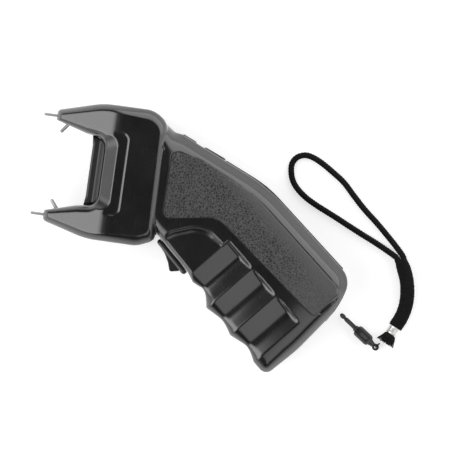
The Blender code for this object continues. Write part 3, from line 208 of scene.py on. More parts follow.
def casing_plastic(name, black, rubbed, smoothness, shine=0.95):
    made, tree, shader = dielectric(name)
    shader.inputs["Coat Roughness"].default_value = COAT_ROUGHNESS
    place = tree.place()
    patches = tree.noise(place, 0.06, 3.0)
    grain = tree.noise(place, 3.2, 2.0)
    scuffs = tree.noise(tree.place((0.9, 0.12, 0.9)), 0.9, 4.0, 0.7).stepped(0.60, 0.72)
    tree.feed(shader.inputs["Base Color"], tree.mixed(patches.stepped(0.35, 0.75), black, rubbed))
    tree.feed(shader.inputs["Roughness"], smoothness + 0.07 * patches + 0.06 * scuffs)
    tree.feed(shader.inputs["Coat Weight"], shine - 0.25 * scuffs)
    tree.feed(shader.inputs["Normal"], tree.bump(grain + 0.4 * scuffs, 0.07, 0.06))
    return made


casing_finish = casing_plastic("casing_plastic", (0.0055, 0.0055, 0.006, 1), (0.009, 0.009, 0.0095, 1),
                               0.22)
switch_finish = casing_plastic("switch_plastic", (0.010, 0.010, 0.011, 1), (0.015, 0.015, 0.016, 1),
                               0.34, 0.6)
button_finish = casing_plastic("button_plastic", (0.012, 0.012, 0.013, 1), (0.018, 0.018, 0.019, 1),
                               0.32, 0.5)
print("plastics:", casing_finish.name, switch_finish.name, button_finish.name)

# %% [markdown]
# The side pads and the battery door carry a leather-like grain: dark pits about a millimetre across in a
# paler net. Voronoi cells give the pits, and their distance from the cell's edge gives the net. Noise bends
# the place that the cells are read at, so that no cell is a clean polygon. Hands have polished the grain
# away along the back and towards the butt, where the pad is smoother. The paler colour there is painted
# light: it stands in for the light that the pad catches where its surface turns towards the back and the
# butt.

# %% Grained plastic of the pads
PIT = 1.3
GRIP_ANGLE = -41.0
# Ranges across and along the grip where the grain is worn smooth and where the colour is painted paler, as
# painted light on the surface that turns towards the light.
BACK_WEAR_AND_LIGHT = (30.0, 39.0)
BUTT_WEAR_AND_LIGHT = (34.0, 70.0)
along_grip = (math.cos(math.radians(GRIP_ANGLE)), math.sin(math.radians(GRIP_ANGLE)), 0.0)
across_grip = (-along_grip[1], along_grip[0], 0.0)


def grained_plastic(name, net, pit, worn_and_lit):
    made, tree, shader = dielectric(name)
    place = tree.place()
    drift = tree.node("ShaderNodeTexNoise", {}, {"Vector": place, "Scale": 0.8, "Detail": 2.0}, 1)
    bent = tree.node("ShaderNodeVectorMath", {"operation": "MULTIPLY_ADD"},
                     {0: drift, 1: (1.6, 1.6, 1.6), 2: place})
    cells = tree.node("ShaderNodeTexVoronoi", {"feature": "DISTANCE_TO_EDGE"},
                      {"Vector": bent, "Scale": 1 / PIT})
    pitted = cells.stepped(0.04, 0.22)
    fine = tree.noise(place, 3.5, 3.0)
    back = tree.dot(place, across_grip).stepped(*BACK_WEAR_AND_LIGHT)
    butt = tree.dot(place, along_grip).stepped(*BUTT_WEAR_AND_LIGHT)
    # The grain is polished smooth along the back and towards the butt. The same share mixes in a paler
    # colour there, which is painted light.
    wear_and_light = 1 - (1 - 0.9 * back) * (1 - 0.7 * butt)
    grained = tree.mixed(pitted * 0.85 + 0.15 * fine, net, pit)
    tree.feed(shader.inputs["Base Color"], tree.mixed(wear_and_light, grained, worn_and_lit))
    tree.feed(shader.inputs["Roughness"], 0.50 + 0.16 * pitted - 0.10 * wear_and_light)
    tree.feed(shader.inputs["Normal"], tree.bump((0.3 * fine - pitted) * (1 - 0.85 * wear_and_light), 0.9, 0.35))
    return made


# The third colour is the paler grey of the back and the butt: painted light, where the surface turns
# towards the light.
pad_finish = grained_plastic("grained_plastic", (0.075, 0.075, 0.076, 1), (0.002, 0.002, 0.002, 1),
                             (0.058, 0.058, 0.059, 1))
print("pits per centimetre:", round(10 / PIT, 1))

# %% [markdown]
# The trim is plainer. The insert between the arms and the strip along the back are moulded in a duller
# black, and the rubber, resin and board inside need no more than a colour, a little cloudiness and a fine
# bump.

# %% Dull plastic of the trim
def dull_plastic(name, colour, roughness, specular=0.45):
    made, tree, shader = dielectric(name, specular)
    place = tree.place()
    cloud = tree.noise(place, 0.25, 3.0)
    shader.inputs["Base Color"].default_value = colour
    tree.feed(shader.inputs["Roughness"], roughness + 0.1 * cloud)
    tree.feed(shader.inputs["Normal"], tree.bump(tree.noise(place, 4.0), 0.15, 0.1))
    return made


trim_finish = dull_plastic("dull_plastic", (0.012, 0.012, 0.013, 1), 0.32, 0.6)
tongue_finish = dull_plastic("grey_plastic", (0.085, 0.085, 0.085, 1), 0.4)
rubber_red = dull_plastic("red_insulation", (0.42, 0.02, 0.02, 1), 0.35)
rubber_black = dull_plastic("black_insulation", (0.012, 0.012, 0.013, 1), 0.4)
resin_finish = dull_plastic("potting_resin", (0.03, 0.03, 0.034, 1), 0.3)
board_finish = dull_plastic("board_laminate", (0.02, 0.13, 0.05, 1), 0.3)
ferrite_finish = dull_plastic("ferrite", (0.05, 0.05, 0.054, 1), 0.6)
sleeve_finish = dull_plastic("capacitor_sleeve", (0.02, 0.03, 0.1, 1), 0.25)
resistor_finish = dull_plastic("resistor_body", (0.45, 0.3, 0.16, 1), 0.35)
jacket_finish = dull_plastic("battery_jacket", (0.16, 0.15, 0.13, 1), 0.3)
print("dull finishes are ready, such as", trim_finish.name)

# %% [markdown]
# Metal shows what is round it. The electrodes are plated pins, the ferrule is a crimped tube with fine
# drawing marks round it, and the plug's pin is nickel gone dark. Each has its own scratches, which run
# where the tool that made it ran.


# %% Metals
def metal(name, colour, roughness, scratch_stretch, depth):
    made, tree, shader = dielectric(name)
    shader.inputs["Metallic"].default_value = 1.0
    shader.inputs["Base Color"].default_value = colour
    scratches = tree.noise(tree.place(scratch_stretch), 1.0, 3.0, 0.6)
    tree.feed(shader.inputs["Roughness"], roughness + 0.12 * scratches)
    tree.feed(shader.inputs["Normal"], tree.bump(scratches, 0.2, depth))
    return made


electrode_finish = metal("plated_pin", (0.42, 0.42, 0.41, 1), 0.42, (0.4, 6, 6), 0.03)
ferrule_finish = metal("polished_ferrule", (0.86, 0.86, 0.85, 1), 0.36, (1.5, 5, 5), 0.03)
steel_finish = metal("plated_steel", (0.58, 0.58, 0.57, 1), 0.2, (2, 2, 2), 0.05)
dark_pin_finish = metal("darkened_pin", (0.06, 0.06, 0.06, 1), 0.24, (3, 3, 3), 0.04)
copper_finish = metal("copper_wire", (0.75, 0.33, 0.14, 1), 0.25, (0.5, 8, 8), 0.05)
aluminium_finish = metal("sheet_aluminium", (0.7, 0.7, 0.7, 1), 0.3, (8, 1, 1), 0.05)
print("metals are ready, such as", electrode_finish.name)

# %% [markdown]
# The cord is a round braid of black yarn. The mesh carries the braid itself, so the material only adds the
# fibres: thin streaks of lighter and darker yarn, a rough surface and a little sheen, which is the light
# that the loose hairs catch at the edge of the cord.

# %% Yarn of the cord
def yarn(name, dark, light):
    made, tree, shader = dielectric(name, specular=0.12)
    shader.inputs["Sheen Weight"].default_value = 0.03
    shader.inputs["Sheen Roughness"].default_value = 0.45
    place = tree.place()
    fibre = tree.noise(place, 5.0, 3.0, 0.7)
    tree.feed(shader.inputs["Base Color"], tree.mixed(fibre, dark, light))
    tree.feed(shader.inputs["Roughness"], 0.75 + 0.15 * fibre)
    tree.feed(shader.inputs["Normal"], tree.bump(fibre, 0.5, 0.12))
    return made


yarn_finish = yarn("black_yarn", (0.003, 0.003, 0.003, 1), (0.012, 0.012, 0.012, 1))
print("yarn:", yarn_finish.name)

# %% [markdown]
# The parts of a tool are drawn in frames of their own, as on a drawing with several views. A frame is a
# point and a direction in the plan. It turns a place along the grip or the trigger into a place on the
# whole prod.


# %% Frames of the plan
class Frame:
    """A place in the plan: a point and the direction of its own +X."""

    def __init__(self, x, y, angle):
        self.matrix = Matrix.Translation((x, y, 0)) @ Matrix.Rotation(math.radians(angle), 4, "Z")
        self.inverse = self.matrix.inverted()

    def at(self, u, v):
        point = self.matrix @ Vector((u, v, 0))
        return (point.x, point.y)

    def inside(self, x, y):
        """A point of the plan, measured in this frame."""
        point = self.inverse @ Vector((x, y, 0))
        return (point.x, point.y)

    def spin(self, u=0.0, v=0.0, z=0.0):
        """The matrix that turns a shape's +Z into this frame's +X."""
        return self.matrix @ Matrix.Translation((u, v, z)) @ Matrix.Rotation(math.radians(90), 4, "Y")


def about(centre, half):
    """Limits at a distance on both sides of a centre."""
    return (centre - half, centre + half)


print("limits of 3 about 10:", about(10, 3))

# %% [markdown]
# An outline is a list of corners, each with its own radius. It can be moved inwards by a distance that
# depends on the corner, which is how an edge gets a wide rounding on one side and a narrow one on the
# other.


# %% Outlines
ARC_STEPS = 10
LEAST_RADIUS = 0.1


def outline(corners, inset=0.0):
    """Points (x, y, edge) round corners (x, y, radius, edge), anticlockwise, moved inwards by an inset.

    The edge value travels with the corner, and an inset that is a function gets it.
    """
    points = []
    for index, corner in enumerate(corners):
        x, y, radius = corner[:3]
        edge = corner[3] if len(corner) > 3 else 0.0
        here = Vector((x, y))
        back = (Vector(corners[index - 1][:2]) - here).normalized()
        ahead = (Vector(corners[(index + 1) % len(corners)][:2]) - here).normalized()
        outward = 1 if ahead.cross(back) > 0 else -1
        distance = inset(edge) if callable(inset) else inset
        half_angle = back.angle(ahead) / 2
        bisector = (back + ahead).normalized() / math.sin(half_angle)
        here += bisector * distance * outward
        if radius <= 0:
            points.append((here.x, here.y, edge))
            continue
        left = max(LEAST_RADIUS, radius - distance * outward)
        centre = here + bisector * left
        run = left / math.tan(half_angle)
        first, last = here + back * run - centre, here + ahead * run - centre
        turn = first.angle_signed(last)
        for step in range(ARC_STEPS + 1):
            arm = first.copy()
            arm.rotate(Matrix.Rotation(-turn * step / ARC_STEPS, 2))
            points.append((centre.x + arm.x, centre.y + arm.y, edge))
    return points


square = ((0, 0, 2), (10, 0, 2), (10, 10, 2), (0, 10, 2))
print("points round a square with four round corners:", len(outline(square)))

# %% [markdown]
# A solid is the outline's face, extruded again and again, with its corners moved each time. A turned part
# is a profile that is spun round an axis, and a box is a cube that is stretched between its limits.


# %% Solids
def placed(bm, place):
    """Turns a mesh's faces outwards and moves it to its place, if it has one."""
    bmesh.ops.recalc_face_normals(bm, faces=bm.faces[:])
    if place is not None:
        bmesh.ops.transform(bm, matrix=place, verts=bm.verts[:])
    return bm


def lofted(rings, place=None):
    """A closed solid: a face through the first ring, extruded from ring to ring."""
    bm = bmesh.new()
    cap = bm.faces.new([bm.verts.new(point) for point in rings[0]])
    for ring in rings[1:]:
        made = bmesh.ops.extrude_face_region(bm, geom=[cap, *cap.edges, *cap.verts])
        cap = next(item for item in made["geom"] if isinstance(item, bmesh.types.BMFace))
        for vert, point in zip(cap.verts, ring):
            vert.co = point
    return placed(bm, place)


def layered(corners, layers):
    """A solid whose outline is moved inwards by a distance at each height."""
    return lofted([[(x, y, z) for x, y, _ in outline(corners, inset)] for inset, z in layers])


def spun(profile, place=None, steps=24):
    """A solid turned about +Z from radii at heights. Its first and last radius are closed at the axis."""
    bm = bmesh.new()
    line = [(0, profile[0][1]), *profile, (0, profile[-1][1])]
    verts = [bm.verts.new((radius, 0, z)) for radius, z in line]
    edges = [bm.edges.new(pair) for pair in zip(verts, verts[1:])]
    bmesh.ops.spin(bm, geom=verts + edges, cent=(0, 0, 0), axis=(0, 0, 1), angle=math.tau, steps=steps,
                   use_merge=True)
    bmesh.ops.remove_doubles(bm, verts=bm.verts[:], dist=0.001)
    return placed(bm, place)


def boxed(x, y, z, place):
    """A box between pairs of limits."""
    bm = bmesh.new()
    middle = [(low + high) / 2 for low, high in (x, y, z)]
    size = [high - low for low, high in (x, y, z)]
    bmesh.ops.create_cube(bm, size=1, matrix=Matrix.Translation(middle) @ Matrix.Diagonal((*size, 1)))
    bmesh.ops.transform(bm, matrix=place, verts=bm.verts[:])
    return bm


sample = layered(square, ((0, 0), (0, 3)))
print("volume of a slab on that square:", round(sample.calc_volume()), "cubic millimetres")
sample.free()

# %% [markdown]
# Booleans and the voxel remesh are modifiers, and their result is read back as a plain mesh. A moulded part
# has no sharp corner anywhere: the remesh lays an even skin over the carved block, and a few passes of
# smoothing round every edge by about half a millimetre, as a mould does.


# %% Carving and moulding
def tool_object(bm, name="tool"):
    mesh = bpy.data.meshes.new(name)
    bm.to_mesh(mesh)
    bm.free()
    made = bpy.data.objects.new(name, mesh)
    bpy.context.scene.collection.objects.link(made)
    return made


def read_back(thing):
    """Replaces an object's mesh by what its modifiers make of it."""
    graph = bpy.context.evaluated_depsgraph_get()
    result = bpy.data.meshes.new_from_object(thing.evaluated_get(graph))
    thing.modifiers.clear()
    thing.data = result
    return thing


def carved(thing, cutters, operation="DIFFERENCE"):
    tools = [tool_object(bm) for bm in cutters]
    for tool in tools:
        step = thing.modifiers.new(operation, "BOOLEAN")
        step.operation = operation
        step.solver = "EXACT"
        step.object = tool
    read_back(thing)
    for tool in tools:
        bpy.data.objects.remove(tool, do_unlink=True)
    return thing


def moulded(thing, voxel, passes):
    """An even skin of a voxel's size over a solid, smoothed a number of times."""
    skin = thing.modifiers.new("skin", "REMESH")
    skin.mode = "VOXEL"
    skin.voxel_size = voxel
    soften = thing.modifiers.new("soften", "SMOOTH")
    soften.factor = 0.5
    soften.iterations = passes
    return read_back(thing)


def taken(thing):
    """A helper object's mesh, with the object removed."""
    bm = bmesh.new()
    bm.from_mesh(thing.data)
    bpy.data.objects.remove(thing, do_unlink=True)
    return bm


# %% [markdown]
# Some pieces have their shape in the model already. A copy of such a node is merged into one mesh, and it
# can be swollen, which is also how an opening gets the clearance round what passes through it. A finished
# piece is turned from millimetres into metres, rides on its body and hides the nodes that it stands for.


# %% Copies and finished pieces
def from_node(node, clearance=0.0):
    """A copy of a node's mesh in millimetres about the parting plane, merged and swollen by a clearance."""
    bm = bmesh.new()
    bm.from_mesh(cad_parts[node].data)
    bmesh.ops.remove_doubles(bm, verts=bm.verts[:], dist=1e-6)
    in_millimetres = Matrix.Translation((0, 0, -PARTING)) @ Matrix.Scale(1 / MM, 4)
    bmesh.ops.transform(bm, matrix=in_millimetres, verts=bm.verts[:])
    bmesh.ops.dissolve_limit(bm, angle_limit=math.radians(1), verts=bm.verts[:], edges=bm.edges[:])
    bm.normal_update()
    if clearance:
        moves = [vert.normal * clearance for vert in bm.verts]
        for vert, move in zip(bm.verts, moves):
            vert.co += move
    return bm


def turned_over(bm):
    """Mirrors a mesh through the parting plane."""
    bmesh.ops.scale(bm, vec=(1, 1, -1), verts=bm.verts[:])
    bmesh.ops.reverse_faces(bm, faces=bm.faces[:])
    return bm


def finished(name, source, finish, body, nodes, crease, lift=PARTING):
    """Puts a piece drawn in millimetres into the scene: in metres, on its body, in place of its nodes."""
    made = tool_object(source, name) if isinstance(source, bmesh.types.BMesh) else source
    made.name = name
    made.data.name = name
    made.data.transform(Matrix.Scale(MM, 4) @ Matrix.Translation((0, 0, lift)))
    made.data.materials.clear()
    made.data.materials.append(finish)
    made.data.shade_smooth()
    made.data.set_sharp_from_angle(angle=math.radians(crease))
    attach(made, body)
    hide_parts(*nodes)
    return made


print("the rocker's mesh has", len(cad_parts["rocker"].data.vertices), "corners")

# %% [markdown]
# The casing is drawn from a handful of sizes. The head is nearly symmetric about its own axis. The grip has
# a frame of its own whose +X runs down the grip, because its finger grooves, battery and pads all line up
# with it.

# %% Sizes of the casing
GAP = 0.3
FINE = 0.02
HALF_THICKNESS = 19.0
SKIN_HALF = 17.4
WALL = 3.0
CAVITY_HALF = 12.0
HEAD_AXIS_Y = 27.8
HEAD_FRONT_X = -77.4
HEAD_HALF_HEIGHT = 35.4
HEAD_CHAMFER_HEIGHT = 4.6
CHAMFER_ROUNDNESS = 1.48
TIP_HALF_THICKNESS = 8.5
TAPER_START_X = -42.0
TAPER_EASE = 7.0
FORK_BASE_X = -50.0
FORK_BASE_HALF = 17.0
DISH_RIM_X = -43.5
DISH_RIM_HALF = 19.9
DISH_FOOT_HALF = 13.4
STEP_X = -38.0
STEP_HALF = 21.9
STEP_DEPTH = 0.45
GRIP_FRONT = -17.2
GRIP_BACK = 49.4
GRIP_BUTT = 80.0
FRONT_EDGE = 6.0
BACK_EDGE = 9.5
BUTT_EDGE = 7.5
NECK_END_X = -15.2
NECK_END_Y = 53.5
NECK_RUN = 9.4
NECK_RISE = 7.0
BACK_START = (-12.0, 53.2)
BACK_SLOPE = -22.4
TRIGGER_CENTRE = (-7.2, -9.7)
TRIGGER_ANGLE = -43.2
PAD_SEAT_DEPTH = 1.2
VOXEL = 0.5
GRIP = Frame(0, 0, GRIP_ANGLE)
TRIGGER = Frame(*TRIGGER_CENTRE, TRIGGER_ANGLE)
BACK = Frame(*BACK_START, BACK_SLOPE)
ARMS = (1, -1)


def on_axis(rows):
    """Corners of the head from rows of x, height above the head's axis and what else a corner has."""
    return [(x, HEAD_AXIS_Y + height, *rest) for x, height, *rest in rows]


def mirrored(rows):
    """The corners below the axis and, in reverse, the same ones above it."""
    return on_axis([(x, -half, *rest) for x, half, *rest in rows]) + on_axis(reversed(rows))


print("the prod is", 2 * HALF_THICKNESS, "mm thick")

# %% [markdown]
# The grip's side is not flat. It falls away towards the back, the butt and the finger grooves, and that
# crown is what makes the light roll over it. The fall is one smooth function of the plan, so the casing and
# the pads can both be lowered by it and stay together. The side that the prod lies on is crowned less,
# because the battery door in it is flat.


# %% Crown of the grip
BACK_FALL, BACK_REACH = 5.4, 23.0
FRONT_FALL = 1.2
BUTT_FALL, BUTT_START = 4.2, 56.0
MOST_FALL = 9.0
FRONT_START = 6.0
CROWNED_FROM_X = (-20.0, -11.0)
CROWNED_FROM_Z = (6.0, SKIN_HALF - 2)
FLAT_SIDE_SHARE = 0.3
BLEND = 4.0


def eased(value, start, end):
    """A smooth step between two values."""
    share = min(1.0, max(0.0, (value - start) / (end - start)))
    return share * share * (3 - 2 * share)


def softly_least(first, second):
    """The smaller of two values, rounded where they are nearly the same."""
    return -BLEND * math.log(math.exp(-first / BLEND) + math.exp(-second / BLEND))


def crown(x, y):
    """How far the side of the grip lies below its highest part, in millimetres."""
    along, across = GRIP.inside(x, y)
    depth = softly_least(GRIP_BACK - across, -BACK.inside(x, y)[1])
    back = BACK_FALL * max(0.0, 1 - depth / BACK_REACH) ** 2
    front = FRONT_FALL * max(0.0, (FRONT_START - across) / (FRONT_START - GRIP_FRONT)) ** 2
    butt = BUTT_FALL * max(0.0, (along - BUTT_START) / (GRIP_BUTT - BUTT_START)) ** 2
    fall = MOST_FALL * (1 - math.exp(-(back + front + butt) / MOST_FALL))
    return fall * eased(x, *CROWNED_FROM_X)


def crowned(bm, side):
    """Lowers the side of a half by the crown, leaving what lies near the parting plane."""
    share = 1.0 if side > 0 else FLAT_SIDE_SHARE
    for vert in bm.verts:
        x, y, z = vert.co
        vert.co.z -= share * crown(x, y) * eased(z, *CROWNED_FROM_Z)
    return bm


print("crown at the butt's corner:", round(crown(*GRIP.at(GRIP_BUTT, GRIP_BACK)), 1), "mm")

# %% [markdown]
# A half of the grip is one outline with rounded corners, whose loops climb round a quarter circle at the
# edge. The radius of that quarter circle is wide along the back, where the palm lies, and narrow in front.

# %% Body of the grip
def grip_corners(front=0.0, wall=0.0):
    """The grip and neck in plan; a cavity has a deeper front and a wall all round."""
    return (
        (-30.0, 10.0 + wall, 0.0, FRONT_EDGE),
        (*TRIGGER.at(-20.4, wall), 0.0, FRONT_EDGE),
        (*TRIGGER.at(11.5, wall), 1.5, FRONT_EDGE),
        (*GRIP.at(32.5 + wall, GRIP_FRONT + front + wall), 0.0, FRONT_EDGE),
        (*GRIP.at(GRIP_BUTT - 0.9 - wall, GRIP_FRONT + front + wall), 4.4, FRONT_EDGE),
        (*GRIP.at(GRIP_BUTT - wall, 4.0), 80.0, BUTT_EDGE),
        (*GRIP.at(GRIP_BUTT - 2.4 - wall, 34.0), 40.0, BUTT_EDGE),
        (*GRIP.at(GRIP_BUTT - 9.2 - wall, GRIP_BACK - wall), 11.0 - wall, BACK_EDGE),
        (*GRIP.at(6.0, GRIP_BACK - 1.6 - wall), 90.0, BACK_EDGE),
        (*BACK.at(0.0, -wall), 10.0, BACK_EDGE),
        (NECK_END_X, NECK_END_Y - wall, 4.0, BACK_EDGE),
        (NECK_END_X - NECK_RUN, NECK_END_Y + NECK_RISE - wall, 0.0, BACK_EDGE),
    )


def quarter_turn(steps):
    """Angles from 0 to 90 degrees."""
    return [math.radians(90) * step / steps for step in range(steps + 1)]


def grip_body():
    corners = grip_corners()
    rings = [[(x, y, GAP / 2) for x, y, _ in outline(corners)]]
    for angle in quarter_turn(9):
        ring = outline(corners, lambda edge: edge * (1 - math.cos(angle)))
        rings.append([(x, y, SKIN_HALF - edge * (1 - math.sin(angle))) for x, y, edge in ring])
    return lofted(rings)


print("corners round the grip:", len(grip_corners()))

# %% [markdown]
# Each finger has a groove. Across the groove there is an even slope down, a tight floor and a hollow rise
# to the next crest. The cutter carries that profile along a line: from the groove's end on the side, over
# the front edge and down to the parting plane. The first groove starts from the floor of the index finger's
# recess.


# %% Finger grooves
GROOVE_FIRST = 23.2
GROOVE_PITCH = 18.75
GROOVE_CREST = 0.4
GROOVE_DEPTHS = (4.0, 2.7, 2.7)
FRONT_DEPTHS = (5.0, 1.9, 2.6)
GROOVE_END = 12.7
GROOVE_END_RADIUS = 1.6
SLOPE_SHARE = 0.42
SLOPE_DEPTH = 0.9
SLOPE_SWELL = 1.24
RISE_STEEPNESS = 1.75
GROOVE_SAMPLES = 28
CUTTER_RISE = 1.8
INDEX_DEPTH = 1.8


def scallop(share, lead):
    """Depth of a groove from crest to crest, as a share of the whole, where its slope starts at a lead."""
    if share < SLOPE_SHARE:
        return lead + (SLOPE_DEPTH - lead) * share / SLOPE_SHARE
    t = (share - SLOPE_SHARE) / (1 - SLOPE_SHARE)
    ease = 2 * t ** 3 - 3 * t * t + 1
    return SLOPE_DEPTH * ease + SLOPE_SWELL * (t ** 3 - 2 * t * t + t) - RISE_STEEPNESS * (t ** 3 - t * t)


def groove_line(depth, front_depth):
    """The cutter's rings: across the grip, height, way of the cut, its depth there and how much is cut."""
    floor = SKIN_HALF - depth
    front = GRIP_FRONT + front_depth
    corner = FRONT_EDGE - depth
    line = []
    for angle in reversed(quarter_turn(8)):
        end = GROOVE_END + GROOVE_END_RADIUS * math.sin(angle)
        line.append((end, floor, (0.0, 1.0), depth, math.cos(angle)))
    for step, angle in enumerate(quarter_turn(7)):
        line.append((front + corner * (1 - math.sin(angle)), floor - corner * (1 - math.cos(angle)),
                     (-math.sin(angle), math.cos(angle)), depth + (front_depth - depth) * step / 7, 1.0))
    line.append((front, -1.0, (-1.0, 0.0), front_depth, 1.0))
    return line


def groove_cutter(centre, depth, front_depth, lead):
    chord = GROOVE_PITCH - GROOVE_CREST
    rings = []
    for across, height, (toward_front, up), here, share in groove_line(depth, front_depth):
        ring = []
        for step in range(GROOVE_SAMPLES + 1):
            along = centre + chord * (step / GROOVE_SAMPLES - 0.5)
            rise = here * (1 - share * scallop(step / GROOVE_SAMPLES, lead)) + FINE
            ring.append((along, across + toward_front * rise, height + up * rise))
        top = max(here, depth) + CUTTER_RISE
        for along in (chord / 2, -chord / 2):
            ring.append((centre + along, across + toward_front * top, height + up * top))
        rings.append(ring)
    return lofted(rings, GRIP.matrix)


def groove_cutters():
    cutters = []
    for index, (depth, front_depth) in enumerate(zip(GROOVE_DEPTHS, FRONT_DEPTHS)):
        lead = INDEX_DEPTH / depth if index == 0 else 0.0
        cutters.append(groove_cutter(GROOVE_FIRST + GROOVE_PITCH * index, depth, front_depth, lead))
    return cutters


print("depths of the finger grooves:", *GROOVE_DEPTHS)

# %% [markdown]
# Beside the rocker the index finger has a shallow recess with a flat floor. The wall round its far side is
# hollow: it leaves the floor level and gets steeper up to the skin, so a thin line of light runs along it.

# %% Recess of the index finger
INDEX_WALL = 3.6
INDEX_WALL_ANGLE = 52.0


def index_cutter():
    corners = (
        (-24.0, -6.0, 0.0, 0.0),
        (-6.0, -24.0, 0.0, 0.0),
        (*GRIP.at(15.4, -16.0), 0.0, 0.0),
        (*GRIP.at(15.4, 11.0), 2.5, 0.4),
        (6.5, 8.6, 14.0, 1.0),
        (-9.0, 3.0, 16.0, 1.0),
        (-18.0, -3.0, 0.0, 1.0),
    )
    rings = []
    steepest = math.radians(INDEX_WALL_ANGLE)
    for step in range(8):
        angle = steepest * step / 7
        ring = outline(corners, lambda edge: edge * INDEX_WALL * (1 - math.sin(angle) / math.sin(steepest)))
        rise = INDEX_DEPTH * (1 - math.cos(angle)) / (1 - math.cos(steepest))
        rings.append([(x, y, SKIN_HALF + FINE - INDEX_DEPTH + rise) for x, y, _ in ring])
    rings.append([(x, y, HALF_THICKNESS) for x, y, _ in outline(corners)])
    return lofted(rings)


def grip_half():
    return carved(tool_object(grip_body(), "grip"), groove_cutters() + [index_cutter()])


print("the recess is", INDEX_DEPTH, "mm deep")

# %% [markdown]
# Seen from the side, the arms of the head lose half their thickness towards the tips. A solid gets this
# form when it is sliced across every two millimetres and the slices are lowered along a curve that starts
# softly.

# %% Taper of the arms
SLICE = 2.0


def taper(x):
    """The share of its full thickness that an arm keeps at a distance along it."""
    run = TAPER_START_X - x
    length = TAPER_START_X - HEAD_FRONT_X
    if run <= 0:
        return 1.0
    lowered = run * run / (2 * TAPER_EASE) if run < TAPER_EASE else run - TAPER_EASE / 2
    return 1 - (1 - TIP_HALF_THICKNESS / HALF_THICKNESS) * lowered / (length - TAPER_EASE / 2)


def tapered(bm):
    x = TAPER_START_X
    while x > HEAD_FRONT_X:
        bmesh.ops.bisect_plane(bm, geom=bm.verts[:] + bm.edges[:] + bm.faces[:], plane_co=(x, 0, 0),
                               plane_no=(1, 0, 0))
        x -= SLICE
    for vert in bm.verts:
        if vert.co.z > 0:
            vert.co.z *= taper(vert.co.x)
    bmesh.ops.triangulate(bm, faces=bm.faces[:])
    return bm


print("thickness at the tips:", round(2 * HALF_THICKNESS * taper(HEAD_FRONT_X), 1), "mm")

# %% [markdown]
# The gap between the arms is cut by a solid whose mouth is flared and lowered along the same curve, so that
# the inner edges stay rounded. Behind the gap the face slopes down in a dish, with a thin step round it.


# %% Gap and dish of the head
OPEN_END_X = -95.0
FLARE_HEIGHT = 1.3
FLARE_ANGLE = 80.0
FLARE_PROUD = 0.1


def fork_cutter():
    corners = mirrored(((OPEN_END_X, 27.2, 0.0, 2.4), (HEAD_FRONT_X, 23.6, 20.0, 2.6),
                        (-61.4, 18.9, 8.0, 4.4), (FORK_BASE_X, FORK_BASE_HALF, 6.0, 4.8)))
    rings = [[(x, y, -1.0) for x, y, _ in outline(corners)]]
    for step in range(9):
        angle = math.radians(FLARE_ANGLE) * step / 8
        ring = []
        for x, y, flare in outline(corners, lambda flare: -flare * (1 - math.cos(angle))):
            drop = FLARE_HEIGHT * flare * (1 - math.sin(angle)) / taper(max(x, HEAD_FRONT_X))
            ring.append((x, y, HALF_THICKNESS - drop + FLARE_PROUD))
        rings.append(ring)
    rings.append([(x, y, HALF_THICKNESS + 2) for x, y, _ in outline(corners, lambda flare: -flare)])
    return tapered(lofted(rings))


def dish_cutters():
    level = HALF_THICKNESS - STEP_DEPTH
    rim = outline(mirrored(((OPEN_END_X - 1, DISH_RIM_HALF, 0.0), (DISH_RIM_X, DISH_RIM_HALF, 6.0))))
    floor_x, floor_half = FORK_BASE_X - FINE, FORK_BASE_HALF - FINE
    foot = outline(mirrored(((OPEN_END_X - 1, floor_half, 0.0), (floor_x, floor_half, 6.0))))
    dish = lofted(([(x, y, DISH_FOOT_HALF) for x, y, _ in foot], [(x, y, level + FINE) for x, y, _ in rim]))
    step = layered(mirrored(((OPEN_END_X - 2, STEP_HALF, 0.0), (STEP_X, STEP_HALF, 4.5))),
                   ((0.3, level), (0.1, level + 0.3), (0.0, level + 0.6), (0.0, HALF_THICKNESS + 1)))
    return [dish, step]


print("the dish falls by", round(HALF_THICKNESS - STEP_DEPTH - DISH_FOOT_HALF, 2), "mm")

# %% [markdown]
# The head is a chamfered slab. The chamfer runs from an outer outline to the outline of the flat face,
# which lies close to it at the tips and behind. Its profile is neither flat nor round: it is a superellipse
# between the two, as on a worn mould.


# %% Forked head
SLAB_CORNERS = on_axis((
    (HEAD_FRONT_X, -29.0, 2.4), (-54.0, -HEAD_HALF_HEIGHT, 40.0), (-27.0, -HEAD_HALF_HEIGHT, 12.0),
    (-18.2, -31.6, 4.5), (-19.5, 29.6, 8.0), (-27.0, HEAD_HALF_HEIGHT, 13.0),
    (-54.0, HEAD_HALF_HEIGHT, 40.0), (HEAD_FRONT_X, 29.0, 2.4),
))
FACE_CORNERS = on_axis((
    (-74.8, -26.6, 1.2), (-52.0, -32.0, 30.0), (-27.2, -30.2, 8.0), (-21.8, -28.0, 3.5),
    (-22.8, 25.4, 7.0), (-27.2, 29.8, 7.0), (-52.0, 32.0, 30.0), (-74.8, 26.6, 1.2),
))


def head_half():
    outside, inside = outline(SLAB_CORNERS), outline(FACE_CORNERS)
    rings = [[(x, y, GAP / 2) for x, y, _ in outside]]
    for angle in quarter_turn(9):
        share = 1 - max(0.0, math.cos(angle)) ** CHAMFER_ROUNDNESS
        drop = HEAD_CHAMFER_HEIGHT * (1 - math.sin(angle) ** CHAMFER_ROUNDNESS)
        ring = [Vector(o[:2]).lerp(Vector(i[:2]), share) for o, i in zip(outside, inside)]
        rings.append([(x, y, HALF_THICKNESS - drop / taper(x)) for x, y in ring])
    slab = tool_object(tapered(lofted(rings)), "head")
    return carved(slab, [fork_cutter(), *dish_cutters()])


print("points round the head:", len(outline(SLAB_CORNERS)))

# %% [markdown]
# Inside, each half is hollow: a wide room in the head, one in the grip and a narrow one along each arm for
# the leads of the electrodes. A column stands in it for each of the five screws.


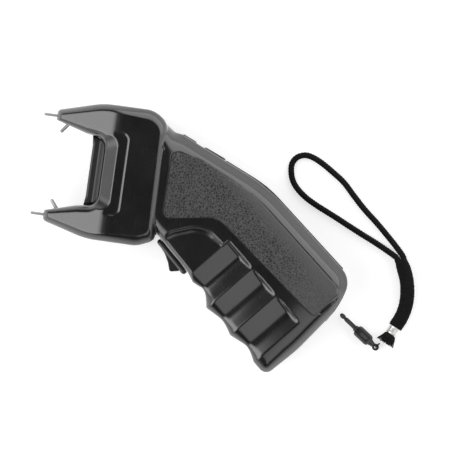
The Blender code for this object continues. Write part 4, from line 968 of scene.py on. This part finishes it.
# %% Hollows and bosses
SCREW_PLACES = (*on_axis(((-29.0, 28.4), (-29.0, -28.4))), (-11.2, 46.9), GRIP.at(30.0, -4.4),
                GRIP.at(70.0, -4.4))
BOSS_RADIUS = 3.5
ARM_CAVITY_HALF = 5.0
STAGGER = 0.05  # keeps the floors of two cutters out of one plane


def hollows():
    rear = (-24.0, 28.0, 3.0)
    head = layered(mirrored(((DISH_RIM_X + 0.4, HEAD_HALF_HEIGHT - WALL, 3.0), rear)),
                   ((0.0, -1.0), (0.0, CAVITY_HALF)))
    grip = layered(grip_corners(front=max(FRONT_DEPTHS), wall=WALL),
                   ((0.0, -1.0), (0.0, CAVITY_HALF - STAGGER)))
    arm_line = ((-40.0, 24.0), (-58.0, 24.2), (-71.8, 24.0), (-71.8, 27.8), (-60.0, 30.0), (-40.0, 31.0))
    arms = []
    for side in ARMS:
        line = on_axis([(x, side * half) for x, half in arm_line])
        arms.append(lofted([[(x, y, z) for x, y in line] for z in (-1.0, ARM_CAVITY_HALF)]))
    return [head, grip] + arms


def bosses():
    column = ((BOSS_RADIUS, GAP / 2), (BOSS_RADIUS, CAVITY_HALF + 1))
    return [spun(column, Matrix.Translation((*place, 0))) for place in SCREW_PLACES]


print("screws:", len(SCREW_PLACES))

# %% [markdown]
# What passes through the wall is cut with a clearance that is read from the node that sits there: the
# electrodes, the back strips and the socket. The rocker's body and the slider's stem have plain boxes. Each
# pad has a shallow bed, a little smaller than the pad. The right half also has the counterbores of the
# screws, the bed of the battery door and the battery's bay.


# %% Beds and openings
SHANK_RADIUS = 1.6
SCREW_HEAD_RADIUS = 2.9
SCREW_SEAT = 12.3
DOOR_START = 12.4
DOOR_END = 73.0
DOOR_WIDTH = 28.8
DOOR_THICKNESS = 2.4
DOOR_LEDGE = 3.6
BAY_END = 66.6
BAY_HALF_WIDTH = 13.85
BATTERY_CENTRE = 29.0
SWITCH_HALF_LENGTH = 9.5
SWITCH_HALF_WIDTH = 6.3
STEM_HALF_LENGTH = 2.0
STEM_HALF_WIDTH = 1.5
SLIDE_TRAVEL = 4.5
SLIDER_DISTANCE = 20.2
PAD_OVERLAP = 0.3
SLIT_START = DOOR_END - 0.5
SLIT_WIDTH = 1.2
SLIT_DEPTH = 2.0
SLIDER = Frame(*BACK.at(SLIDER_DISTANCE, 0), BACK_SLOPE)
PASSING = ("upper_contact_electrode", "lower_contact_electrode", "upper_spark_electrode",
           "lower_spark_electrode", "safety_socket", "upper_spine_strip", "lower_spine_strip")


def pad_corners(end):
    """A side pad in plan, from behind the head down to a distance along the grip."""
    bend = [(*GRIP.at(6.0, 40.2), 50.0)] if end > 20 else []
    return (
        (-15.4, 8.2, 3.0),
        (12.6, 13.0, 14.0),
        (*GRIP.at(end, 21.8), 1.6),
        (*GRIP.at(end - 1.6, 41.2), 5.0),
        *bend,
        (0.0, 41.6, 20.0),
        (-15.4, 44.0, 3.0),
    )


def side_pad_end(side):
    """The left pad runs down to the butt, and the right one stops before the battery door."""
    return DOOR_END if side > 0 else DOOR_START - DOOR_LEDGE - WALL


def openings(side):
    """What is cut through the wall of one half."""
    cutters = [from_node(name, GAP) for name in PASSING] + [from_node("electrode_carrier", FINE)]
    if side < 0:
        cutters = [turned_over(bm) for bm in cutters]
    body = about(0, SWITCH_HALF_LENGTH + GAP), (-4.0, 5.0), about(0, SWITCH_HALF_WIDTH + GAP)
    slot = (-STEM_HALF_LENGTH - SLIDE_TRAVEL - GAP, STEM_HALF_LENGTH + GAP)
    cutters.append(boxed(*body, TRIGGER.matrix))
    cutters.append(boxed(slot, (-5.0, 4.0), about(0, STEM_HALF_WIDTH + GAP), SLIDER.matrix))
    cutters.append(layered(pad_corners(side_pad_end(side)), ((PAD_OVERLAP, SKIN_HALF - PAD_SEAT_DEPTH),
                                                             (PAD_OVERLAP, HALF_THICKNESS + 1))))
    if side > 0:
        slit = (SLIT_START, SLIT_START + SLIT_WIDTH)
        cutters.append(boxed(slit, (25.0, 40.2), (SKIN_HALF - SLIT_DEPTH, HALF_THICKNESS), GRIP.matrix))
        return cutters
    level = HALF_THICKNESS - DOOR_THICKNESS - GAP
    across = about(BATTERY_CENTRE, DOOR_WIDTH / 2 + GAP)
    bay = about(BATTERY_CENTRE, BAY_HALF_WIDTH)
    cutters.append(boxed((DOOR_START - GAP, GRIP_BUTT + 4), across, (level, HALF_THICKNESS + 1),
                         GRIP.matrix))
    cutters.append(boxed((DOOR_START + DOOR_LEDGE, BAY_END), bay, (-1, HALF_THICKNESS), GRIP.matrix))
    bore = ((SHANK_RADIUS, -1), (SHANK_RADIUS, SCREW_SEAT), (SCREW_HEAD_RADIUS, SCREW_SEAT),
            (SCREW_HEAD_RADIUS, HALF_THICKNESS + 1))
    return cutters + [spun(bore, Matrix.Translation((*place, 0))) for place in SCREW_PLACES]


print("the battery's bay is", round(BAY_END - DOOR_START - DOOR_LEDGE, 1), "mm long")

# %% [markdown]
# The two halves of the casing come out of the same steps. The carved block is then covered by an even skin
# of half-millimetre squares and smoothed, which rounds every edge as a mould does, and last it gets its
# crown.

# %% The casing
def housing(name, side):
    """One half of the casing, drawn with its outside up; the right one is then turned over."""
    shell = grip_half()
    carved(shell, [taken(head_half())], "UNION")
    carved(shell, hollows())
    carved(shell, bosses(), "UNION")
    carved(shell, openings(side))
    moulded(shell, VOXEL, 3)
    bm = crowned(taken(shell), side)
    if side < 0:
        turned_over(bm)
    made = finished(name, bm, casing_finish, "root", [name.replace("shell", "housing")],
                    crease=180)
    print(name, "has", len(made.data.polygons), "faces")
    return made


housing("left_shell", 1)
housing("right_shell", -1)

# %% [markdown]
# The pads are let into the casing and stand a little proud of it, with soft edges, and they follow the same
# crown. Their grain is in the mesh as well as in the finish: each vertex of the top is lowered where it
# lies in the middle of a pit, so that the grain breaks the light at the edge of a highlight too. The relief
# fades where hands have worn the grain away.


# %% Side pads
LEFT_PAD_RISE = 0.8
PAD_EDGE = 0.7
PAD_VOXEL = 0.38
TOP_BAND = 0.3
GRAIN_RELIEF = 0.26
PIT_STEEPNESS = 2.2
WORN_SHARE = 0.9


def pad_mesh(corners, low, high):
    layers = [(0.0, low)]
    for angle in quarter_turn(5):
        layers.append((PAD_EDGE * (1 - math.cos(angle)), high - PAD_EDGE * (1 - math.sin(angle))))
    return layered(corners, layers)


def grain(point):
    """Relief of the pits at a point, less where hands have polished the pad smooth."""
    distances, _ = noise.voronoi(point / PIT)
    along, across = GRIP.inside(point.x, point.y)
    worn_and_lit = 1 - (1 - eased(across, *BACK_WEAR_AND_LIGHT)) * (1 - eased(along, *BUTT_WEAR_AND_LIGHT))
    pit = min(1.0, PIT_STEEPNESS * (distances[1] - distances[0]))
    return -GRAIN_RELIEF * (1 - WORN_SHARE * worn_and_lit) * pit


def side_pad(name, side):
    low = SKIN_HALF - PAD_SEAT_DEPTH + GAP
    high = SKIN_HALF + LEFT_PAD_RISE if side > 0 else HALF_THICKNESS
    pad = tool_object(pad_mesh(pad_corners(side_pad_end(side)), low, high), name)
    moulded(pad, PAD_VOXEL, 1)
    bm = taken(pad)
    for vert in bm.verts:
        if vert.co.z > high - TOP_BAND:
            vert.co.z += grain(vert.co)
    crowned(bm, side)
    if side < 0:
        turned_over(bm)
    made = finished(name, bm, pad_finish, "root", [name.replace("grip", "side")], crease=180)
    print(name, "has", len(made.data.polygons), "faces")


side_pad("left_grip_pad", 1)
side_pad("right_grip_pad", -1)

# %% [markdown]
# Other moulded pieces have the right shape in the model already, but with hard edges. A copy of each gets
# the same even skin and smoothing as the casing. Some then change a little: the insert between the arms
# gets its raised rim, the slider reaches down to the casing, the socket's rim is drawn back to the skin of
# the butt, and the plug is kept above the surface.


# %% Changes to softened pieces
INSERT_FRONT_X = -57.0
INSERT_RIM_X = (-53.4, -49.6)
INSERT_RIM_Z = (4.2, 6.4)
INSERT_RIM_RISE = 4.0
SLIDER_FOOT = 0.8
SOCKET = Frame(*GRIP.at(78.0, 28.5), -31.0)
DRAWN_BACK = 0.1
LEAST_HEIGHT = 0.03


def with_rim(bm):
    """Raises the insert towards the casing on both sides, and draws its ends back between the arms."""
    for vert in bm.verts:
        side = 1 if vert.co.z > 0 else -1
        rise = INSERT_RIM_RISE * eased(vert.co.x, *INSERT_RIM_X) * eased(abs(vert.co.z), *INSERT_RIM_Z)
        vert.co.z += side * rise
        if vert.co.x < INSERT_FRONT_X:
            vert.co.x = INSERT_FRONT_X + DRAWN_BACK * (vert.co.x - INSERT_FRONT_X)


def down_to_skin(bm):
    """Stretches the slider's foot to the casing and presses the rest of it together."""
    for vert in bm.verts:
        along, across = SLIDER.inside(vert.co.x, vert.co.y)
        if across > 0.0:
            above = across - SLIDER_FOOT
            vert.co.x, vert.co.y = SLIDER.at(along, (1.6 if above < 0 else 0.7) * above - FINE)


def nearly_flush(bm):
    for vert in bm.verts:
        out, aside = SOCKET.inside(vert.co.x, vert.co.y)
        if out > 0:
            vert.co.x, vert.co.y = SOCKET.at(DRAWN_BACK * out, aside)


def above_surface(bm):
    for vert in bm.verts:
        vert.co.z = max(vert.co.z, LEAST_HEIGHT - PARTING)


print("the insert's rim rises by", INSERT_RIM_RISE, "mm")

# %% [markdown]
# One table lists the softened pieces: the node, the piece's name, the size of the skin's squares, the
# passes of smoothing, the finish, the body, the slot, how far it is swollen first and how it is changed
# last.


# %% Softened pieces
SOFTENED = (
    ("electrode_carrier", "moulded_insert", 0.35, 2, trim_finish, "root", "dull_trim", 0.3, with_rim),
    ("upper_spine_strip", "upper_back_strip", 0.3, 2, trim_finish, "root", "dull_trim", 0.0, None),
    ("lower_spine_strip", "lower_back_strip", 0.3, 2, trim_finish, "root", "dull_trim", 0.0, None),
    ("battery_door", "moulded_door", 0.4, 2, pad_finish, "battery_door", "grip_pad", 0.0, None),
    ("switch_body", "switch_bezel", 0.3, 1, switch_finish, "root", "switch_plastic", 0.0, None),
    ("rocker", "trigger_rocker", 0.25, 2, button_finish, "rocker", "button_plastic", 0.0, None),
    ("safety_slider", "thumb_slider", 0.25, 1, button_finish, "slider", "button_plastic", 0.0,
     down_to_skin),
    ("safety_socket", "flush_socket", 0.2, 1, dark_pin_finish, "root", "plated_steel", 0.0, nearly_flush),
    ("plug_grip", "plug_body", 0.2, 2, switch_finish, "plug", "switch_plastic", 0.35, above_surface),
    ("plug_eye", "plug_ring", 0.2, 1, switch_finish, "plug", "switch_plastic", 0.25, above_surface),
)


def softened(node, name, voxel, passes, finish, body, slot, swell, change):
    """A copy of a node with rounded edges, in the place of that node."""
    bm = taken(moulded(tool_object(from_node(node, swell), name), voxel, passes))
    if change:
        change(bm)
    return finished(name, bm, finish, body, [node], crease=180)


soft_pieces = {row[1]: softened(*row) for row in SOFTENED}
print("softened pieces:", *soft_pieces)

# %% [markdown]
# The return spring sits in a well behind the rocker. Its coils close up as the rocker is pressed; here its
# copy keeps the node's shape and has a mesh of its own.

# %% Return spring of the rocker
spring = finished("return_spring", from_node("rocker_spring"), steel_finish, "root", ["rocker_spring"],
                  crease=50)
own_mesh(spring)

# %% [markdown]
# Every other node of the model keeps its shape and gets the finish of the real piece.

# %% Finishes of the remaining nodes
FINISHED_NODES = (
    (electrode_finish, ["upper_contact_electrode", "lower_contact_electrode", "upper_spark_electrode",
                        "lower_spark_electrode"]),
    (resin_finish, ["high_voltage_module"]),
    (rubber_red, ["upper_high_voltage_lead", "lower_high_voltage_lead", "red_battery_lead"]),
    (rubber_black, ["power_transistor", "battery_snap", "black_battery_lead"]),
    (board_finish, ["circuit_board"]),
    (ferrite_finish, ["transformer_core"]),
    (copper_finish, ["transformer_winding"]),
    (sleeve_finish, ["main_capacitor"]),
    (aluminium_finish, ["heat_sink"]),
    (resistor_finish, [f"board_resistor_{index + 1}" for index in range(3)]),
    (jacket_finish, ["battery"]),
    (steel_finish, ["rocker_pin", "switch_lug_1", "switch_lug_2", "slide_switch_case"]),
    (steel_finish, [f"housing_screw_{index + 1}" for index in range(len(SCREW_PLACES))]),
    (switch_finish, ["slide_switch_lever"]),
    (dark_pin_finish, ["socket_nut", "plug_pin"]),
    (tongue_finish, ["plug_tongue"]),
    (yarn_finish, ["plug_tie"]),
)
for finish, nodes in FINISHED_NODES:
    for node in nodes:
        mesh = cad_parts[node].data
        mesh.materials.clear()
        mesh.materials.append(finish)
print("finished nodes:", sum(len(nodes) for _, nodes in FINISHED_NODES))

# %% [markdown]
# The strap is one loop of round braid whose ends go into a woven sleeve. Its route is a smooth curve
# through a few points on the surface, sampled at an even spacing.

# %% Route of the strap
CORD_DIAMETER = 2.8
SLEEVE_DIAMETER = 7.0
CORD_LIFT = 0.08
SPACING = 0.26
INTO_FERRULE = 0.45
SPLINE_STEPS = 24
CORD_ROUTE = (
    (112.2, 4.4, 3.4), (111.1, 6.5, 3.0), (107.3, 10.6, 1.4), (102.6, 15.1, 1.4), (95.3, 21.7, 1.4),
    (88.0, 27.8, 1.4), (81.4, 34.2, 1.4), (75.4, 40.2, 1.4), (68.5, 45.0, 1.4), (62.5, 48.7, 1.4),
    (57.5, 50.9, 1.4), (53.4, 51.5, 1.4), (49.5, 49.9, 1.4), (47.3, 46.5, 1.4), (47.3, 42.3, 1.4),
    (48.8, 37.6, 1.4), (51.9, 33.5, 1.4), (57.0, 29.5, 1.4), (63.0, 26.3, 1.4), (69.0, 23.6, 1.4),
    (75.0, 20.9, 1.4), (82.0, 17.6, 1.4), (89.0, 14.4, 1.4), (96.0, 11.3, 1.4), (101.6, 8.6, 1.4),
    (105.6, 6.5, 2.1), (108.2, 4.9, 3.0), (109.3, 2.9, 3.4),
)
SLEEVE_ROUTE = (
    (111.0, 3.2), (113.2, -1.2), (114.9, -5.6), (116.0, -10.3),
    (116.5, -15.4), (116.2, -20.4), (114.9, -25.6), (112.6, -30.6),
)


def smooth(route, spacing):
    """Points at an even spacing along a smooth curve through a route."""
    knots = [Vector(point) for point in route]
    padded = [2 * knots[0] - knots[1], *knots, 2 * knots[-1] - knots[-2]]
    fine = []
    for a, b, c, d in zip(padded, padded[1:], padded[2:], padded[3:]):
        for step in range(SPLINE_STEPS):
            t = step / SPLINE_STEPS
            fine.append(0.5 * (2 * b + (c - a) * t + (2 * a - 5 * b + 4 * c - d) * t * t
                               + (3 * b - a - 3 * c + d) * t ** 3))
    fine.append(knots[-1])
    lengths = [0.0]
    for a, b in zip(fine, fine[1:]):
        lengths.append(lengths[-1] + (b - a).length)
    count = max(2, round(lengths[-1] / spacing))
    points, place = [], 0
    for index in range(count + 1):
        target = lengths[-1] * index / count
        while place < len(fine) - 2 and lengths[place + 1] < target:
            place += 1
        share = (target - lengths[place]) / (lengths[place + 1] - lengths[place])
        points.append(fine[place].lerp(fine[place + 1], share))
    return points


def line_length(points):
    return sum((b - a).length for a, b in zip(points, points[1:]))


cord_line = [Vector((x, y, CORD_LIFT + max(CORD_DIAMETER / 2, z)))
             for x, y, z in smooth(CORD_ROUTE, SPACING)]
sleeve_line = smooth([(x, y, SLEEVE_DIAMETER / 2) for x, y in SLEEVE_ROUTE], SPACING)
sleeve_way = (sleeve_line[-1] - sleeve_line[-2]).normalized()
sleeve_line.append(sleeve_line[-1] + sleeve_way * INTO_FERRULE)
sleeve_line.insert(0, 2.6 * sleeve_line[0] - 1.6 * sleeve_line[4])  # past the start, over the cord's ends
print("cord:", round(line_length(cord_line)), "mm, sleeve:", round(line_length(sleeve_line)), "mm")

# %% [markdown]
# A tube along a line is a ring that is extruded from point to point, with each new ring set square to the
# line. A braid is two sets of yarns that wind in opposite directions and pass over and under each other.
# The tube's radius follows that rule: it is high along the yarns of either set and highest where two cross.
# The sleeve is woven from more and finer yarns, and its surface is fuzzy.

# %% Braided tubes
SLIM_LENGTH = 6.0
FUZZ_SCALE = 2.2


def braided(line, diameter, around, yarns, lay, depth, fuzz=0.0, slim_start=1.0):
    """A tube whose skin is a braid of a number of yarns each way, which wind once round in one lay."""
    sweep = Vector((0, 0, 1))
    travelled = 0.0
    rings = []
    for index, point in enumerate(line):
        ahead = line[min(index + 1, len(line) - 1)] - line[max(index - 1, 0)]
        ahead.normalize()
        side = ahead.cross(sweep).normalized()
        up = side.cross(ahead)
        if index:
            travelled += (point - line[index - 1]).length
        width = diameter / 2 * (slim_start + (1 - slim_start) * eased(travelled, 0.0, SLIM_LENGTH))
        ring = []
        for step in range(around):
            angle = math.tau * step / around
            wind = yarns * math.tau * travelled / lay
            right = math.cos(yarns * angle + wind)
            left = math.cos(yarns * angle - wind)
            lift = max(right, left) * 0.7 + 0.3 * right * left
            radius = width + depth * (lift + 0.1)
            spot = point + side * (radius * math.cos(angle)) + up * (radius * math.sin(angle))
            if fuzz:
                spot += (spot - point).normalized() * fuzz * noise.noise(spot * FUZZ_SCALE)
            spot.z = max(spot.z, LEAST_HEIGHT)
            ring.append(spot)
        rings.append(ring)
    return lofted(rings)


cord = finished("wrist_cord_braid", braided(cord_line, CORD_DIAMETER, 36, 6, 8.4, 0.3), yarn_finish,
                "strap", ["wrist_cord"], crease=180, lift=0.0)
sleeve = finished("sleeve_braid", braided(sleeve_line, SLEEVE_DIAMETER, 72, 12, 15.0, 0.3, 0.3, 0.83),
                  yarn_finish, "strap", ["cord_sleeve"], crease=180, lift=0.0)
print("faces of the two braids:", len(cord.data.polygons) + len(sleeve.data.polygons))

# %% [markdown]
# A short polished tube is crimped over the end of the sleeve. It is turned from a profile with rolled ends,
# and the crimping tool has left six flats round its middle.

# %% Crimped ferrule
FERRULE_LENGTH = 4.6
FERRULE_DIAMETER = 6.0
FERRULE_WALL = 0.35
CRIMP_DEPTH = 0.02
run_end = sleeve_line[-1] - sleeve_way * INTO_FERRULE
STRAP_END = Frame(run_end.x, run_end.y, math.degrees(math.atan2(sleeve_way.y, sleeve_way.x)))
strap_end = STRAP_END.spin(z=SLEEVE_DIAMETER / 2)


def crimped_tube():
    outer, length = FERRULE_DIAMETER / 2 + FERRULE_WALL, FERRULE_LENGTH
    profile = [(outer - 0.5, 0.1), (outer - 0.12, 0.16), (outer, 0.4), (outer, 0.8)]
    profile += [(outer - 0.05, 1.1 + 0.3 * step) for step in range(9)]
    profile += [(outer, length - 0.8), (outer, length - 0.4), (outer - 0.12, length - 0.12),
                (outer - 0.5, length)]
    bm = spun(profile, steps=72)
    for vert in bm.verts:
        angle = math.atan2(vert.co.y, vert.co.x)
        middle = eased(vert.co.z, 0.9, 1.4) * (1 - eased(vert.co.z, 3.2, 3.7))
        pressed = 1 - CRIMP_DEPTH * middle * (0.5 + 0.5 * math.cos(6 * angle))
        vert.co.x *= pressed
        vert.co.y *= pressed
    bmesh.ops.transform(bm, matrix=strap_end, verts=bm.verts[:])
    return bm


ferrule = finished("crimped_ferrule", crimped_tube(), ferrule_finish, "strap", ["cord_ferrule"],
                   crease=40, lift=0.0)
print("ferrule:", FERRULE_LENGTH, "mm long")

# %% [markdown]
# Below the ferrule the cut yarns fray into a tuft. The tuft is a core with a brush of tapered strands,
# which lean outwards and are each bent their own way by a smooth noise. The noise has a seed, so the tuft
# comes out the same each time. The strands are spread like the seeds of a sunflower, each a golden angle on
# from the last, so that no two lie in a row.

# %% Frayed end
TAIL_LENGTH = 6.2
HAIRS = 90
HAIR_RADIUS = 0.34
HAIR_SIDES = 5
HAIR_STEPS = 5
GOLDEN_ANGLE = 2.399963
TUFT_SEED = 7
noise.seed_set(TUFT_SEED)


def strand(bm, start, way, length, radius, seed):
    """A thin tapered hair that starts straight and then bends its own way."""
    rings = []
    for step in range(HAIR_STEPS + 1):
        share = step / HAIR_STEPS
        drift = noise.noise_vector(Vector((seed * 3.7, share * 1.4, 0.3))) * 1.5 * share
        centre = start + way * (length * share) + Vector((drift.x, drift.y, 0))
        width = radius * (1 - 0.6 * share)
        ring = [centre + Vector((width * math.cos(a), width * math.sin(a), 0)) for a in
                (math.tau * corner / HAIR_SIDES for corner in range(HAIR_SIDES))]
        rings.append([bm.verts.new(point) for point in ring])
    for lower, upper in zip(rings, rings[1:]):
        for index in range(HAIR_SIDES):
            bm.faces.new((lower[index - 1], lower[index], upper[index], upper[index - 1]))
    bm.faces.new(rings[0])
    bm.faces.new(rings[-1])


def frayed_tuft():
    start = FERRULE_LENGTH + 0.1
    core = [(2.2, start), (2.9, start + 0.6), (3.3, start + 1.6), (3.5, start + 3.2), (2.9, start + 4.6),
            (1.6, start + 5.2)]
    bm = spun(core, steps=28)
    for vert in bm.verts:
        vert.co += vert.co.normalized() * 0.35 * noise.noise(vert.co * 1.3)
    for index in range(HAIRS):
        angle = index * GOLDEN_ANGLE
        share = math.sqrt((index + 0.5) / HAIRS)
        root = Vector((2.8 * share * math.cos(angle), 2.8 * share * math.sin(angle), start + 0.3))
        lean = 0.46 * share
        way = Vector((lean * math.cos(angle), lean * math.sin(angle), 1.0))
        length = (TAIL_LENGTH - 0.6) * (0.92 + 0.16 * noise.noise(Vector((index * 1.9, 0.4, 2.0))))
        strand(bm, root, way, length, HAIR_RADIUS, index)
    bmesh.ops.recalc_face_normals(bm, faces=bm.faces[:])
    bmesh.ops.transform(bm, matrix=strap_end, verts=bm.verts[:])
    for vert in bm.verts:
        vert.co.z = max(0.15, vert.co.z)
    return bm


tuft = finished("frayed_tuft", frayed_tuft(), yarn_finish, "strap", ["cord_tail"], crease=60,
                lift=0.0)
print("strands in the tuft:", HAIRS)

# %% [markdown]
# The strap is one cord, and both its ends go into the sleeve. Here its length is worked out along its line.

# %% Length of the strap
line_length(cord_line) * MM
print("the cord is", round(line_length(cord_line), 1), "mm long")

# %% [markdown]
# The prod lies on a pale sheet in a white room. A diffuse sheet alone would render grey where the light is
# weaker, so it glows a little for the camera and in reflections, and still takes the prod's shadow.

# %% Surface
FLOOR_SIZE = 3.0
FLOOR_DROP = 0.2
PAPER_WHITE = (0.6, 0.6, 0.6, 1)
FLOOR_GLOW = 0.62
bm = bmesh.new()
bmesh.ops.create_grid(bm, x_segments=1, y_segments=1, size=FLOOR_SIZE)
floor = tool_object(bm, "surface")
floor.location.z = -FLOOR_DROP * MM
floor_finish = bpy.data.materials.new("pale_surface")
tree = Tree(floor_finish)
tree.nodes.clear()
paper = tree.node("ShaderNodeBsdfDiffuse", {}, {"Color": PAPER_WHITE})
glow = tree.node("ShaderNodeEmission", {}, {"Color": (1, 1, 1, 1), "Strength": FLOOR_GLOW})
shown = tree.node("ShaderNodeAddShader", {}, {0: paper, 1: glow})
seen = tree.node("ShaderNodeLightPath", output="Is Camera Ray")
mirrored_ray = tree.node("ShaderNodeLightPath", output="Is Glossy Ray")
passed_ray = tree.node("ShaderNodeLightPath", output="Is Transmission Ray")
output = tree.nodes.new("ShaderNodeOutputMaterial")
anyway = (seen + mirrored_ray + passed_ray).limited()
surface = tree.node("ShaderNodeMixShader", {}, {0: anyway, 1: paper, 2: shown})
tree.feed(output.inputs["Surface"], surface)
floor.data.materials.append(floor_finish)
print("surface glows by", FLOOR_GLOW)

# %% [markdown]
# Black gloss plastic shows the room more than it shows its own colour, so the room is the lamp. It is dim
# overhead, where the camera is, which keeps the faces that look up dark. A tall window stands on the left
# and a wide one behind and to the right, with a dark wall between them, and a pale band runs round the
# horizon. A small round lamp at the lower right lights the slopes of the finger grooves. A window's row
# gives, in degrees, its heading, how far to each side it shines in full and how far at all, and the heights
# between which it comes up and fades again. Its strength is the last number. The lamp's row gives the way
# to it, the angle at which it fades out, the angle within which it is full, and its strength.

# %% Room of light
DIM = 0.03
HORIZON = 1.0
WINDOWS = (
    (195, 30, 50, (12, 22), (58, 70), 3.4),
    (52, 42, 62, (4, 10), (46, 66), 2.1),
)
LAMP = ((0.43, -0.37, 0.82), 26, 14, 1.15)
world = bpy.data.worlds.new("room")
bpy.context.scene.world = world
tree = Tree(world)


def sine(angle):
    return math.sin(math.radians(angle))


def cosine(angle):
    return math.cos(math.radians(angle))


direction = tree.node("ShaderNodeTexCoord", output="Generated")
height = tree.dot(direction, (0, 0, 1))
level = tree.node("ShaderNodeVectorMath", {"operation": "MULTIPLY"}, {0: direction, 1: (1, 1, 0)})
compass = tree.node("ShaderNodeVectorMath", {"operation": "NORMALIZE"}, {0: level})
light = DIM + HORIZON * (1 - height.stepped(sine(5), sine(20)))
for heading, inner, outer, bottom, top, strength in WINDOWS:
    facing = tree.dot(compass, (cosine(heading), sine(heading), 0)).stepped(cosine(outer), cosine(inner))
    rising = height.stepped(sine(bottom[0]), sine(bottom[1]))
    falling = 1 - height.stepped(sine(top[0]), sine(top[1]))
    light = light + strength * facing * rising * falling
aim, outer, inner, strength = LAMP
spot = tree.dot(direction, Vector(aim).normalized())
light = light + strength * spot.stepped(cosine(outer), cosine(inner))
seen = tree.node("ShaderNodeLightPath", output="Is Camera Ray")
tree.feed(tree.nodes["Background"].inputs["Strength"], light * (1 - seen) + seen)
tree.nodes["Background"].inputs["Color"].default_value = (1, 1, 1, 1)
print("windows:", len(WINDOWS))
